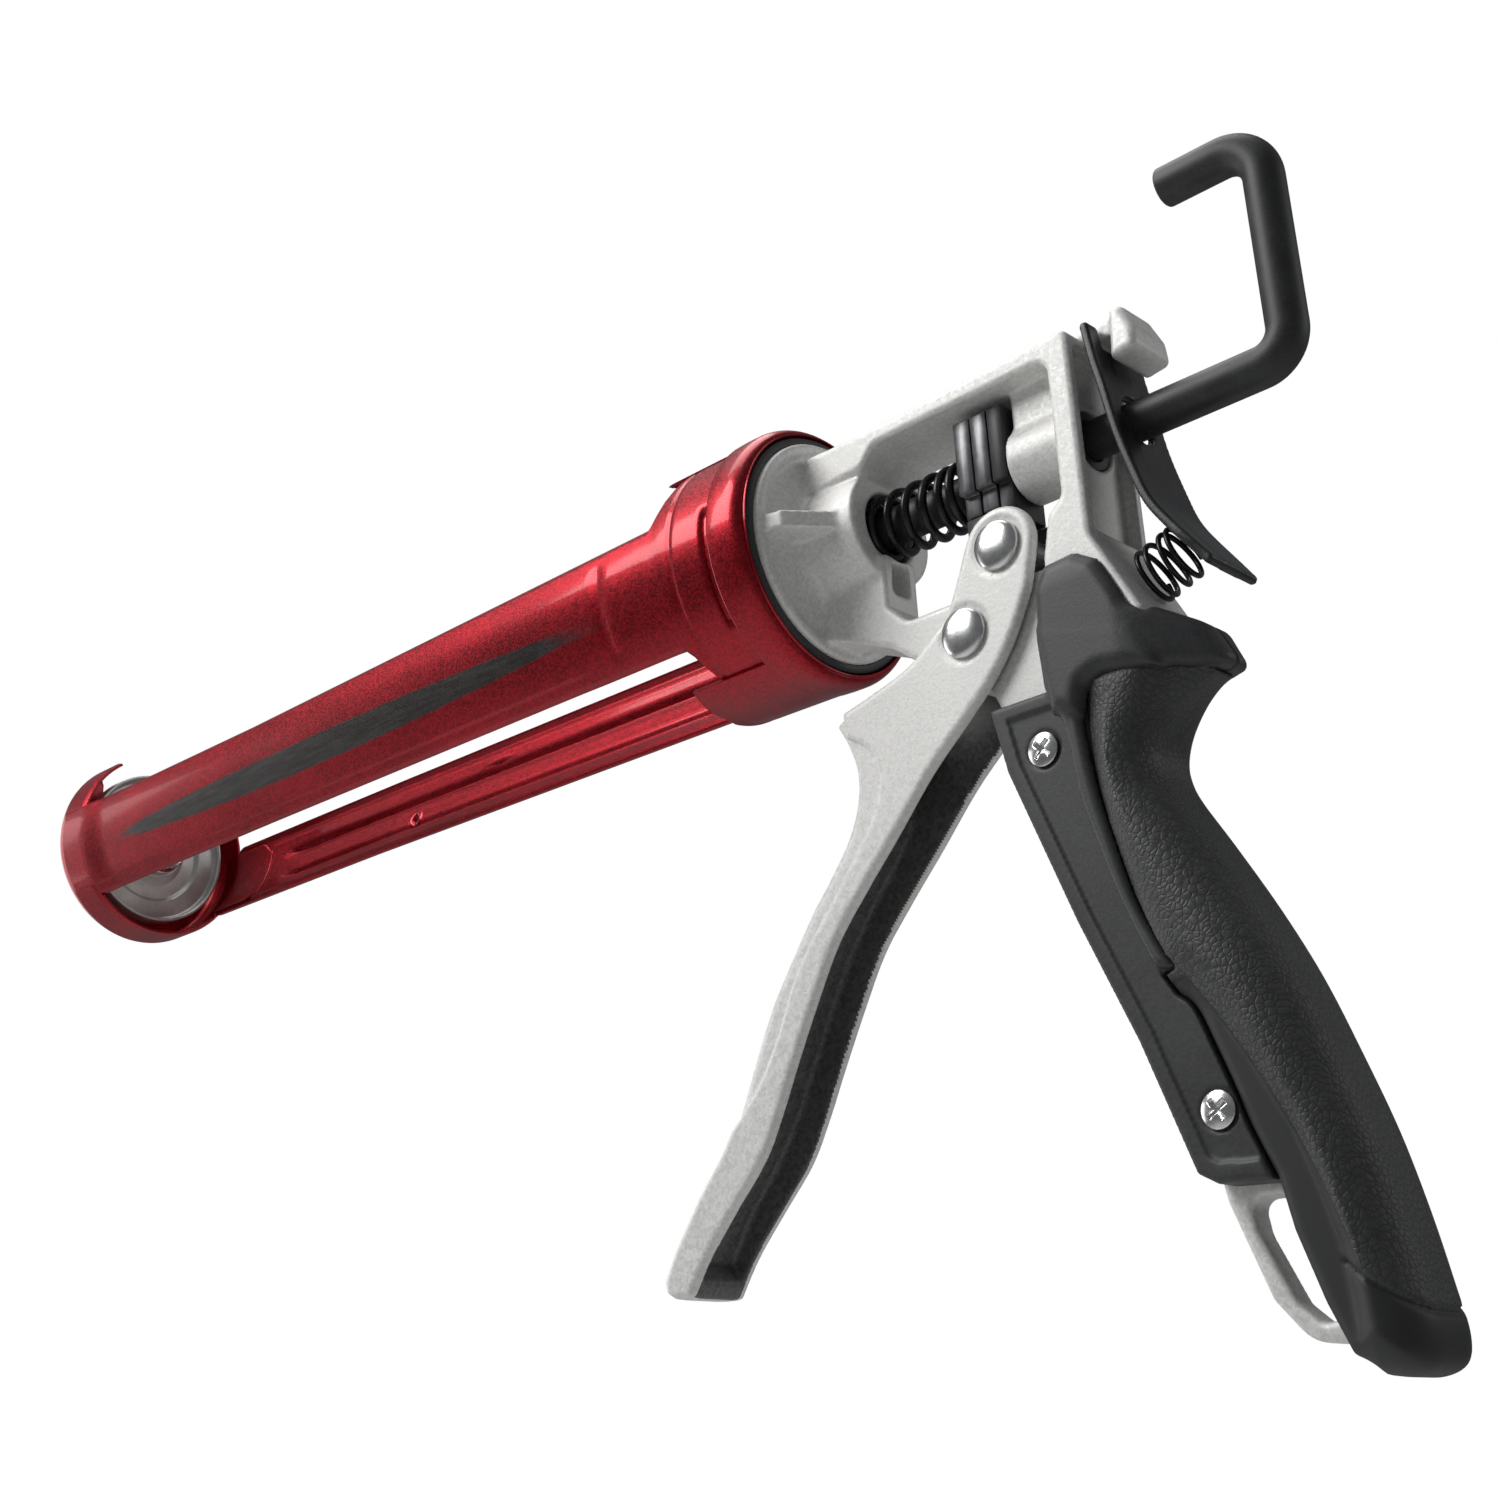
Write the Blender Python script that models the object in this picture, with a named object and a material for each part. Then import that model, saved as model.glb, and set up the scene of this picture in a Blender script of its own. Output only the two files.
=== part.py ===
"""Skeleton caulking gun: a swivelling barrel, a cast body, a push rod and a squeeze trigger.

The gun lies along X with its muzzle towards -X and its handle hanging towards -Z.
Sizes are in millimetres, and every x below is measured from the body's flange edge.
The world origin is the middle of the pusher's front face, with the rod fully forward.
"""

import math

import bmesh
import bpy
from mathutils import Matrix, Vector

MM = 0.001

# Fits
GAP = 0.3  # between pieces that touch
RUNNING = 0.35  # between pieces that slide or turn
SHEET = 0.8  # barrel sheet steel
FULL_TURN = 2 * math.pi

# Barrel
FLANGE_X = 268.0  # pusher face to flange edge
CARTRIDGE_R = 24.4
BARREL_LEN = 272.9  # flange edge to muzzle
CUP_DEPTH = 13.5
NOSE_SLOT_HALF = 14.0
NOZZLE_R = 12.5
RAIL_SPREAD = 71.0  # degrees from the bottom line to each rail's middle
RAIL_WIDTH = 57.5  # degrees
RAIL_CONE_START = 180.0  # the rails open out from here to the collar
BARREL_TURN = -3.0  # degrees the barrel stands turned at rest
COLLAR_LEN = 21.0
BEAD_LEN = 8.8
BEAD_RISE = 2.0
BAND_SEAM = 4.0  # degrees between the two bands round the collar
TONGUE_LEN = 20.0
HOLE_FROM_MUZZLE = 99.0

# Body casting
FLANGE_R = 25.2
FLANGE_THICK = 5.0
BEARING_THICK = 1.5
BOSS_R = 13.0
BOSS_END = 17.4
FRAME_HALF = 10.5
WINDOW_END = 67.1
FRAME_END = 72.6
RAIL_UNDER = 14.6
RAIL_TOP_FRONT = 18.2
RAIL_TOP_REAR = 20.2
WEB_HALF = 5.5
TANG_HALF = 3.0
REAR_BOSS_R = 8.0
BLOCK_CLEAR = 0.7  # free space behind the drive block
GUSSET_THICK = 3.5
LUG_HALF = 7.0
NECK_HALF = 4.6
RECESS = 3.0
RECESS_WALL = 2.5
LUG_X0 = 79.5
LUG_X1 = 85.5

# Rod, pusher and springs
ROD_R = 4.1
HOOK_X = 114.1
HOOK_TOP = 47.0
HOOK_END = 92.5
HOOK_BEND_LOW = 6.5
HOOK_BEND_HIGH = 8.5
PUSHER_CLEAR = 2.4  # the pusher runs this far inside the cartridge's wall
PUSHER_THICK = 5.4
PUSHER_FLOOR = 1.8
BUSH_WALL = 1.6
SPRING_WIRE = 2.0
SPRING_R = 6.6
SPRING_PITCH = 4.6

# Drive
PLATE_THICK = 4.0
PLATE_X = 40.9
PLATE_HALF = 7.0
PLATE_TOP = 12.8
PLATE_SHOULDER = -3.7
PLATE_FOOT = -8.4
BRIDGE_THICK = 2.5
BLOCK_THICK = 3.6
BLOCK_FOOT = -22.0

# Trigger
PIVOT = (40.0, -33.9)
DRIVE_PIN = (50.0, -18.3)
TRIGGER_HALF = 8.6
CHEEK = 2.3
PIN_R = 3.0
PIN_HEAD_R = 5.2
PIN_HEAD_RISE = 1.9
ROLLER_R = 4.2

# Grip
GRIP_HALF = 13.0
PANEL_HALF = 9.6
SCREWS = ((56.2, -63.3), (83.7, -136.4))
SCREW_R = 2.0
SCREW_HEAD_R = 3.4
SCREW_HEAD_RISE = 1.6
NUT_FLAT_R = 3.2
NUT_THICK = 2.6

# Release lever
LEVER_HALF = 9.2
LEVER_THICK = 2.0
LEVER_HINGE = (76.5, 15.6)
LEVER_HOLE_R = 5.3
RELEASE_R = 5.4
RELEASE_WIRE = 1.2
RELEASE_TURNS = 3.5

# Values that follow from the ones above
ROOF = RAIL_UNDER + 3.2
PUSHER_R = CARTRIDGE_R - PUSHER_CLEAR
RAIL_R = CARTRIDGE_R + 2 * SHEET + GAP
CUP_R = RAIL_R + 0.7
BEARING_R = FLANGE_R + BEARING_THICK
COLLAR_IN = BEARING_R + RUNNING
COLLAR_R = COLLAR_IN + SHEET
BAND_IN = COLLAR_R + GAP
BAND_R = BAND_IN + SHEET
ROD_BORE = ROD_R + RUNNING
BUSH_R = ROD_BORE + BUSH_WALL
BLOCK_X = PLATE_X + 2 * (PLATE_THICK + GAP)
BLOCK_END = BLOCK_X + BLOCK_THICK
REAR_BOSS_X = BLOCK_END + BLOCK_CLEAR


def finish(name, colour, roughness, metallic=0.0):
    """Return a plain Principled material, made once per name."""
    material = bpy.data.materials.get(name)
    if material:
        return material
    material = bpy.data.materials.new(name)
    material.use_nodes = True
    shader = material.node_tree.nodes["Principled BSDF"]
    shader.inputs["Base Color"].default_value = (*colour, 1.0)
    shader.inputs["Roughness"].default_value = roughness
    shader.inputs["Metallic"].default_value = metallic
    return material


def red_paint():
    """Candy red paint over pressed sheet steel."""
    return finish("red_paint", (0.32, 0.01, 0.03), 0.3, 0.6)


def cast_silver():
    """Satin aluminium casting."""
    return finish("cast_silver", (0.6, 0.6, 0.58), 0.45, 0.7)


def black_steel():
    """Blackened steel of the rod, lever and springs."""
    return finish("black_steel", (0.04, 0.04, 0.042), 0.45, 0.5)


def bright_steel():
    """Plated steel of the rivets, screws and nuts."""
    return finish("bright_steel", (0.75, 0.75, 0.74), 0.2, 1.0)


def grey_steel():
    """Hardened plates that bite on the rod."""
    return finish("grey_steel", (0.2, 0.2, 0.2), 0.4, 0.8)


def black_plastic():
    """Hard nylon of the grip shells and bearings."""
    return finish("black_plastic", (0.03, 0.032, 0.034), 0.5)


def black_rubber():
    """Soft elastomer of the palm pad."""
    return finish("black_rubber", (0.025, 0.026, 0.028), 0.8)


def solid(name, verts, faces, material, origin=(0.0, 0.0, 0.0)):
    """Make one object from points in millimetres, with its own origin at the given point."""
    mesh = bpy.data.meshes.new(name)
    base = Vector(origin)
    mesh.from_pydata([(Vector(v) - base) * MM for v in verts], [], faces)
    shape = bmesh.new()
    shape.from_mesh(mesh)
    bmesh.ops.remove_doubles(shape, verts=shape.verts, dist=1e-6)
    bmesh.ops.recalc_face_normals(shape, faces=shape.faces)
    shape.to_mesh(mesh)
    shape.free()
    mesh.shade_smooth()
    mesh.set_sharp_from_angle(angle=math.radians(35))
    mesh.materials.append(material)
    piece = bpy.data.objects.new(name, mesh)
    piece.location = (base + Vector((FLANGE_X, 0, 0))) * MM
    bpy.context.collection.objects.link(piece)
    return piece


def combine(piece, tool, operation):
    """Cut a helper solid from a piece, or join it on, with a Boolean modifier."""
    tool.hide_render = True
    tool.display_type = "WIRE"
    modifier = piece.modifiers.new(f"{operation.lower()}_{tool.name}", "BOOLEAN")
    modifier.operation = operation
    modifier.solver = "EXACT"
    modifier.object = tool
    return piece


def cut(piece, *tools):
    """Take each helper solid away from the piece."""
    for tool in tools:
        combine(piece, tool, "DIFFERENCE")


def join(piece, *tools):
    """Fuse each helper solid into the piece."""
    for tool in tools:
        combine(piece, tool, "UNION")


def soften(piece, width, angle=40, segments=2):
    """Round a piece's edges that are sharper than an angle."""
    modifier = piece.modifiers.new("soften", "BEVEL")
    modifier.width = width * MM
    modifier.segments = segments
    modifier.limit_method = "ANGLE"
    modifier.angle_limit = math.radians(angle)
    modifier.use_clamp_overlap = True
    modifier.harden_normals = False


def rounded(corners):
    """Return an outline whose corners (x, z, radius) are replaced by arcs."""
    outline = []
    count = len(corners)
    for index, (x, z, radius) in enumerate(corners):
        point = Vector((x, z))
        before = Vector(corners[index - 1][:2]) - point
        after = Vector(corners[(index + 1) % count][:2]) - point
        if radius <= 0:
            outline.append((x, z))
            continue
        half = before.angle(after) / 2
        reach = min(radius / math.tan(half), 0.49 * before.length, 0.49 * after.length)
        radius = reach * math.tan(half)
        middle = point + (before.normalized() + after.normalized()).normalized() * (
            radius / math.sin(half)
        )
        start = point + before.normalized() * reach - middle
        end = point + after.normalized() * reach - middle
        sweep = start.angle_signed(end)
        steps = max(2, math.ceil(abs(sweep) / math.radians(22)))
        for step in range(steps + 1):
            turn = Matrix.Rotation(-sweep * step / steps, 2)
            outline.append(tuple(middle + turn @ start))
    return outline


def grown(outline, by):
    """Return a clockwise outline moved outward by a distance."""
    moved = []
    count = len(outline)
    for index in range(count):
        before = Vector(outline[index - 1])
        point = Vector(outline[index])
        after = Vector(outline[(index + 1) % count])
        first = (point - before).normalized()
        second = (after - point).normalized()
        normal = Vector((-first.y, first.x)) + Vector((-second.y, second.x))
        share = by / max(normal.length_squared / 2, 0.3)
        moved.append((point.x + normal.x * share, point.y + normal.y * share))
    return moved


def curve_through(points, per_span=3):
    """Return points on a smooth curve that passes through the given ones."""
    ends = [points[0], *points, points[-1]]
    outline = []
    for index in range(1, len(ends) - 2):
        a, b, c, d = (Vector(p) for p in ends[index - 1 : index + 3])
        for step in range(per_span):
            t = step / per_span
            outline.append(
                tuple(
                    0.5
                    * (
                        2 * b
                        + (c - a) * t
                        + (2 * a - 5 * b + 4 * c - d) * t**2
                        + (3 * b - a - 3 * c + d) * t**3
                    )
                )
            )
    outline.append(tuple(points[-1]))
    return outline


def prism(name, outline, half, material, origin=(0.0, 0.0, 0.0), low=None):
    """Extrude an outline in XZ along Y, from low (or -half) to half."""
    low = -half if low is None else low
    count = len(outline)
    verts = [(x, low, z) for x, z in outline] + [(x, half, z) for x, z in outline]
    faces = [(i, (i + 1) % count, count + (i + 1) % count, count + i) for i in range(count)]
    faces += [tuple(range(count))[::-1], tuple(range(count, 2 * count))]
    return solid(name, verts, faces, material, origin)


def block(name, x0, x1, half, z0, z1, material):
    """Make a box that is centred on Y."""
    return prism(name, [(x0, z0), (x1, z0), (x1, z1), (x0, z1)], half, material)


def turned(name, profile, material, origin=(0.0, 0.0, 0.0), steps=64, centre=(0.0, 0.0)):
    """Turn a closed profile of (x, radius) points round a line along X."""
    verts = []
    for step in range(steps):
        angle = FULL_TURN * step / steps
        for x, radius in profile:
            verts.append((x, centre[0] + radius * math.cos(angle), centre[1] + radius * math.sin(angle)))
    return solid(name, verts, ring_faces(steps, len(profile)), material, origin)


def ring_faces(steps, count):
    """Faces of a loop of equal rings, joined all round."""
    faces = []
    for step in range(steps):
        for index in range(count):
            after = (index + 1) % count
            ahead = (step + 1) % steps
            faces.append(
                (
                    step * count + index,
                    step * count + after,
                    ahead * count + after,
                    ahead * count + index,
                )
            )
    return faces


def turned_y(name, profile, at, material, origin=None, steps=32):
    """Turn a profile of (y, radius) points round a line along Y through at = (x, z)."""
    verts = []
    for y, radius in profile:
        for step in range(steps):
            angle = FULL_TURN * step / steps
            verts.append((at[0] + radius * math.cos(angle), y, at[1] + radius * math.sin(angle)))
    faces = []
    for row in range(len(profile) - 1):
        for step in range(steps):
            ahead = (step + 1) % steps
            faces.append(
                (
                    row * steps + step,
                    row * steps + ahead,
                    (row + 1) * steps + ahead,
                    (row + 1) * steps + step,
                )
            )
    last = (len(profile) - 1) * steps
    faces += [tuple(range(steps))[::-1], tuple(range(last, last + steps))]
    return solid(name, verts, faces, material, origin or (at[0], 0.0, at[1]))


def rod_along_x(name, x0, x1, radius, material, steps=40):
    """A plain round bar along the gun's axis."""
    verts = []
    for x in (x0, x1):
        for step in range(steps):
            angle = FULL_TURN * step / steps
            verts.append((x, radius * math.cos(angle), radius * math.sin(angle)))
    faces = [(i, (i + 1) % steps, steps + (i + 1) % steps, steps + i) for i in range(steps)]
    faces += [tuple(range(steps))[::-1], tuple(range(steps, 2 * steps))]
    return solid(name, verts, faces, material)


def tube_along(name, path, radius, material, origin=(0.0, 0.0, 0.0), sides=12):
    """Sweep a round section along a list of points, with flat ends."""
    points = [Vector(p) for p in path]
    verts = []
    normal = Vector((0, 1, 0))
    for index, point in enumerate(points):
        ahead = points[min(index + 1, len(points) - 1)]
        behind = points[max(index - 1, 0)]
        tangent = (ahead - behind).normalized()
        side = (normal - tangent * normal.dot(tangent)).normalized()
        normal = side
        other = tangent.cross(side)
        for step in range(sides):
            angle = FULL_TURN * step / sides
            verts.append(point + side * (radius * math.cos(angle)) + other * (radius * math.sin(angle)))
    faces = []
    for row in range(len(points) - 1):
        for step in range(sides):
            ahead = (step + 1) % sides
            faces.append(
                (
                    row * sides + step,
                    row * sides + ahead,
                    (row + 1) * sides + ahead,
                    (row + 1) * sides + step,
                )
            )
    last = (len(points) - 1) * sides
    faces += [tuple(range(sides))[::-1], tuple(range(last, last + sides))]
    return solid(name, verts, faces, material, origin)


def coil(name, start, end, radius, wire, turns, material, per_turn=14):
    """A compression spring between two points, with its end turns closed up."""
    start, end = Vector(start), Vector(end)
    axis = (end - start).normalized()
    across = axis.orthogonal().normalized()
    other = axis.cross(across)
    length = (end - start).length
    steps = round(turns * per_turn)
    closed = wire / length
    path = []
    for step in range(steps + 1):
        share = step / steps
        turn = FULL_TURN * turns * share
        tail = 1 / turns
        eased = min(max((share - tail) / (1 - 2 * tail), 0.0), 1.0)
        along = closed / 2 + (1 - closed) * eased * (1 - 2 * closed)
        along += closed * min(share / tail, 1.0) + closed * max((share - 1 + tail) / tail, 0.0)
        path.append(
            start
            + axis * (along * length)
            + across * (radius * math.cos(turn))
            + other * (radius * math.sin(turn))
        )
    return tube_along(name, path, wire / 2, material, start, 6)


def sheet_band(name, stations, material, columns=14, ribs=None):
    """A curved strip of sheet round the barrel's axis.

    Each station is (x, inner radius, outer radius, first angle, last angle), in degrees.
    """
    verts = []
    for x, inner, outer, first, last in stations:
        for wall in (outer, inner):
            for column in range(columns + 1):
                share = column / columns
                angle = math.radians(first + (last - first) * share)
                radius = wall + (ribs(x, share) if ribs else 0.0)
                verts.append((x, radius * math.cos(angle), radius * math.sin(angle)))
    row = 2 * (columns + 1)
    faces = []
    for station in range(len(stations) - 1):
        base = station * row
        for column in range(columns):
            for wall in (0, columns + 1):
                a = base + wall + column
                faces.append((a, a + 1, a + row + 1, a + row))
        for edge in (0, columns):
            a = base + edge
            faces.append((a, a + columns + 1, a + row + columns + 1, a + row))
    for base in (0, (len(stations) - 1) * row):
        for column in range(columns):
            a = base + column
            faces.append((a, a + 1, a + columns + 2, a + columns + 1))
    piece = solid(name, verts, faces, material)
    piece.rotation_euler.x = math.radians(BARREL_TURN)
    return piece


def flare(x, start, end):
    """Ease from 0 at start to 1 at end."""
    share = min(max((x - start) / (end - start), 0.0), 1.0)
    return share * share * (3 - 2 * share)


def rail_stations(middle, front, band, rounding, lead=0.0):
    """Stations of one rail, opening out into its half of the collar band."""
    half = RAIL_WIDTH / 2
    joint = -COLLAR_LEN
    places = [front + step * rounding / 4 for step in range(4)] if rounding else [front]
    first_step = front + max(rounding, CUP_DEPTH - 6.0)
    places += [first_step + step * 2.4 for step in range(4)]
    length = joint - 30 - first_step - 12
    places += [first_step + 12 + length * step / 9 for step in range(10)]
    places += [joint - 24 + step * 3.0 for step in range(8)]
    places += [joint, -BEAD_LEN - GAP]
    stations = []
    for x in places:
        widen = flare(x, joint - 12, joint + 1)
        open_out = flare(x, -RAIL_CONE_START, joint)
        outer = RAIL_R + (BAND_R - RAIL_R) * open_out
        outer += lead * (1 - flare(x, front + CUP_DEPTH - 6.0, front + CUP_DEPTH + 1.0))
        nose = min((x - front) / rounding, 1.0) if rounding else 1.0
        trim = 4.0 * (1 - math.sqrt(1 - (1 - nose) ** 2))
        first = middle - half + trim + (band[0] - middle + half) * widen
        last = middle + half - trim + (band[1] - middle - half) * widen
        stations.append((x, outer - SHEET, outer, first, last))
    return stations


def barrel_ribs(x, share):
    """Two long pressed ribs that fade out before the ends."""
    fade = flare(x, -BARREL_LEN + 22, -BARREL_LEN + 40) * (1 - flare(x, -62, -48))
    height = sum(math.exp(-(((share - centre) / 0.07) ** 2)) for centre in (0.36, 0.7))
    return 0.9 * fade * height


def make_barrel():
    """Front cup with the label rail, the ribbed rail, the collar and its snap ring."""
    muzzle = -BARREL_LEN
    near = 270 - RAIL_SPREAD
    far = 270 + RAIL_SPREAD
    split_top = 129.0
    split_low = 249.0
    near_band = (split_top + BAND_SEAM / 2, split_low - BAND_SEAM / 2)
    far_band = (split_low + BAND_SEAM / 2, split_top + 360 - BAND_SEAM / 2)
    lip = 1.0
    cup_profile = [
        (muzzle + lip, CUP_R),
        (muzzle + CUP_DEPTH, CUP_R),
        (muzzle + CUP_DEPTH, CUP_R - SHEET),
        (muzzle + SHEET + 0.1, CUP_R - SHEET),
        (muzzle + SHEET + 0.1, 3.0),
        (muzzle, 3.0),
        (muzzle, CUP_R - lip),
        (muzzle + 0.3 * lip, CUP_R - 0.3 * lip),
    ]
    cup = turned("front_cup", cup_profile, red_paint(), steps=56)
    cup.rotation_euler.x = math.radians(BARREL_TURN)
    slot = nose_slot(muzzle)
    cut(cup, slot)
    label = sheet_band(
        "label_rail_strip",
        rail_stations(near, muzzle + 4.0, near_band, 0.0, CUP_R - 0.1 - RAIL_R),
        red_paint(),
    )
    join(cup, label, cup_tongue(far, muzzle + CUP_DEPTH))
    ribbed = sheet_band(
        "ribbed_rail",
        rail_stations(far, muzzle + CUP_DEPTH + 1.5, far_band, 5.0),
        red_paint(),
        columns=24,
        ribs=barrel_ribs,
    )
    drain = cylinder_through(
        "rail_hole", muzzle + HOLE_FROM_MUZZLE, far - 4.0, 1.8
    )
    cut(ribbed, drain)
    make_collar()


def cup_tongue(middle, rim):
    """Strip of the cup that steps in and runs on under the far rail."""
    half = RAIL_WIDTH / 2 - 3
    outer = CUP_R - 0.1
    low = CARTRIDGE_R
    stations = [
        (rim - 7.0, outer - SHEET, outer, middle - half, middle + half),
        (rim - 1.5, outer - SHEET, outer, middle - half, middle + half),
        (rim + 0.6, low, low + SHEET, middle - half, middle + half),
        (rim + TONGUE_LEN * 0.8, low, low + SHEET, middle - half, middle + half),
        (rim + TONGUE_LEN, low, low + SHEET, middle - half + 6, middle + half - 6),
    ]
    return sheet_band("cup_tongue", stations, red_paint(), columns=12)


def nose_slot(muzzle):
    """Cutter for the cup's slot, open towards the top, where the nozzle drops in."""
    steps = 12
    turns = [math.pi + math.pi * s / steps for s in range(steps + 1)]
    outline = [(NOZZLE_R * math.cos(a), NOZZLE_R * math.sin(a)) for a in turns]
    outline += [(NOSE_SLOT_HALF, NOZZLE_R), (NOSE_SLOT_HALF, 2 * CUP_R)]
    outline += [(-NOSE_SLOT_HALF, 2 * CUP_R), (-NOSE_SLOT_HALF, NOZZLE_R)]
    low, high = muzzle - 5.0, muzzle + CUP_DEPTH + 5.0
    count = len(outline)
    verts = [(low, y, z) for y, z in outline] + [(high, y, z) for y, z in outline]
    faces = [(i, (i + 1) % count, count + (i + 1) % count, count + i) for i in range(count)]
    faces += [tuple(range(count)), tuple(range(count, 2 * count))]
    tool = solid("nose_slot", verts, faces, red_paint())
    tool.rotation_euler.x = math.radians(BARREL_TURN)
    return tool


def cylinder_through(name, x, angle, radius, steps=20):
    """Cutter along a barrel radius at a given angle."""
    out = Vector((0, math.cos(math.radians(angle)), math.sin(math.radians(angle))))
    side = out.cross(Vector((1, 0, 0)))
    verts = []
    for reach in (CARTRIDGE_R - 4, BAND_R + 4):
        for step in range(steps):
            turn = FULL_TURN * step / steps
            centre = Vector((x, 0, 0)) + out * reach
            across = Vector((1, 0, 0)) * radius * math.cos(turn)
            verts.append(centre + across + side * radius * math.sin(turn))
    faces = [(i, (i + 1) % steps, steps + (i + 1) % steps, steps + i) for i in range(steps)]
    faces += [tuple(range(steps)), tuple(range(steps, 2 * steps))]
    tool = solid(name, verts, faces, red_paint())
    tool.rotation_euler.x = math.radians(BARREL_TURN)
    return tool


def make_collar():
    """Collar ring with a rolled bead behind the bands, and the snap ring inside it."""
    bead_start = -BEAD_LEN
    bead_end = 1.4
    swell = [(bead_start, COLLAR_R)]
    steps = 8
    for step in range(1, steps):
        share = step / steps
        x = bead_start + (bead_end - bead_start) * share
        swell.append((x, COLLAR_R + BEAD_RISE * math.sin(math.pi * share) ** 0.6))
    collar_profile = [
        (-COLLAR_LEN, COLLAR_IN),
        (-COLLAR_LEN, COLLAR_R),
        *swell,
        (bead_end, COLLAR_R - 0.4),
        (bead_end, COLLAR_IN),
    ]
    collar = turned("collar_ring", collar_profile, red_paint(), steps=56)
    collar.rotation_euler.x = math.radians(BARREL_TURN)
    ring_front = -FLANGE_THICK - GAP - 1.5
    ring_profile = [
        (ring_front, CARTRIDGE_R - 1.5),
        (ring_front, COLLAR_IN - GAP),
        (ring_front + 1.2, COLLAR_IN - GAP),
        (ring_front + 1.2, CARTRIDGE_R - 1.5),
    ]
    turned("snap_ring", ring_profile, grey_steel(), steps=48)
    step = 0.5
    bearing_profile = [
        (-FLANGE_THICK, FLANGE_R - 0.7 + GAP),
        (-FLANGE_THICK, BEARING_R),
        (-step - GAP, BEARING_R),
        (-step - GAP, FLANGE_R - 0.7 + GAP),
    ]
    turned("bearing_ring", bearing_profile, black_plastic(), steps=56)


def make_body():
    """The casting: flange, boss, top rail, rear wall, hook, web, tang and lanyard loop."""
    silver = cast_silver()
    step = 0.5
    profile = [
        (-FLANGE_THICK, BUSH_R + GAP),
        (-FLANGE_THICK, FLANGE_R - 0.7),
        (-step, FLANGE_R - 0.7),
        (-step, FLANGE_R),
        (0.8, FLANGE_R),
        (2.0, FLANGE_R - 0.6),
        (3.0, FLANGE_R - 2.0),
        (6.6, BOSS_R + 1.4),
        (8.0, BOSS_R),
        (BOSS_END, BOSS_R),
        (BOSS_END, SPRING_R + SPRING_WIRE / 2 + RUNNING),
        (BOSS_END - 8.0, SPRING_R + SPRING_WIRE / 2 + RUNNING),
        (BOSS_END - 8.0, BUSH_R + GAP),
    ]
    body = turned("cast_body", profile, silver, steps=56)
    top = [
        (3.0, 11.5, 0),
        (19.5, 11.5, 1.5),
        (22.0, RAIL_UNDER, 2.5),
        (WINDOW_END, RAIL_UNDER + 1.0, 2.5),
        (WINDOW_END, -14.4, 2.5),
        (63.6, -17.4, 2.0),
        (61.5, -26.0, 0),
        (69.0, -27.6, 3.0),
        (79.6, -45.0, 0),
        (82.0, -43.0, 0.8),
        (FRAME_END, -24.4, 4.0),
        (FRAME_END, RAIL_TOP_REAR, 1.5),
        (20.0, RAIL_TOP_FRONT, 8.0),
        (4.0, RAIL_TOP_FRONT + 0.4, 0),
    ]
    frame = prism("frame_side", rounded(top), FRAME_HALF, silver)
    web = [
        (1.5, -6.0, 0),
        (1.5, -22.5, 0),
        (4.3, -23.1, 0),
        (18.5, -29.2, 6),
        (25.0, -34.2, 4),
        (36.0, -43.0, 4),
        (42.6, -46.0, 3),
        (44.6, -50.5, 0),
        (47.6, -57.0, 0),
        (62.0, -57.0, 0),
        (66.5, -30.0, 0),
        (70.0, -22.0, 0),
        (66.0, -17.0, 2),
        (60.0, -25.1, 2),
        (23.6, -24.8, 4.2),
        (19.0, -20.0, 0),
        (19.0, -6.0, 0),
    ]
    web_plate = prism("web_plate", rounded(web), WEB_HALF, silver)
    tang = prism("tang", rounded(tang_outline()), TANG_HALF, silver)
    gusset = prism("gusset", [(1.5, 0), (1.5, 1), (10, 1), (10, 0)], 1.0, silver)
    gusset_outline(gusset)
    rear_boss = rod_along_x("rear_boss", REAR_BOSS_X, FRAME_END - 2.0, REAR_BOSS_R, silver)
    rib = block("boss_rib", REAR_BOSS_X, WINDOW_END + 1.0, 5.0, 4.0, RAIL_UNDER + 2.0, silver)
    lug = prism("lug", rounded(lug_outline()), LUG_HALF, silver)
    neck = block("lug_neck", FRAME_END - 3, LUG_X0 + 1.5, NECK_HALF, ROOF, RAIL_TOP_REAR + 0.3, silver)
    join(body, frame, web_plate, tang, gusset, rear_boss, rib, lug, neck)
    spring_room = SPRING_R + SPRING_WIRE / 2 + RUNNING
    recess_half = FRAME_HALF - RECESS_WALL
    cut(
        body,
        block("rear_recess", FRAME_END - RECESS, LUG_X0 - 1.0, recess_half, -22.0, ROOF - 1.0, silver),
        rod_along_x("spring_bore", BOSS_END - 8.0, BOSS_END + 3.0, spring_room, silver),
        rod_along_x("front_bore", -FLANGE_THICK - 4, BOSS_END, BUSH_R + GAP, silver),
        rod_along_x("rear_bore", REAR_BOSS_X - 4, FRAME_END + 4, BUSH_R + GAP, silver),
        turned_y("pivot_bore", [(-20, PIN_R + GAP), (20, PIN_R + GAP)], PIVOT, silver),
    )
    for index, at in enumerate(SCREWS):
        cut(body, turned_y(f"screw_bore_{index}", [(-20, SCREW_R + GAP), (20, SCREW_R + GAP)], at, silver))


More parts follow.
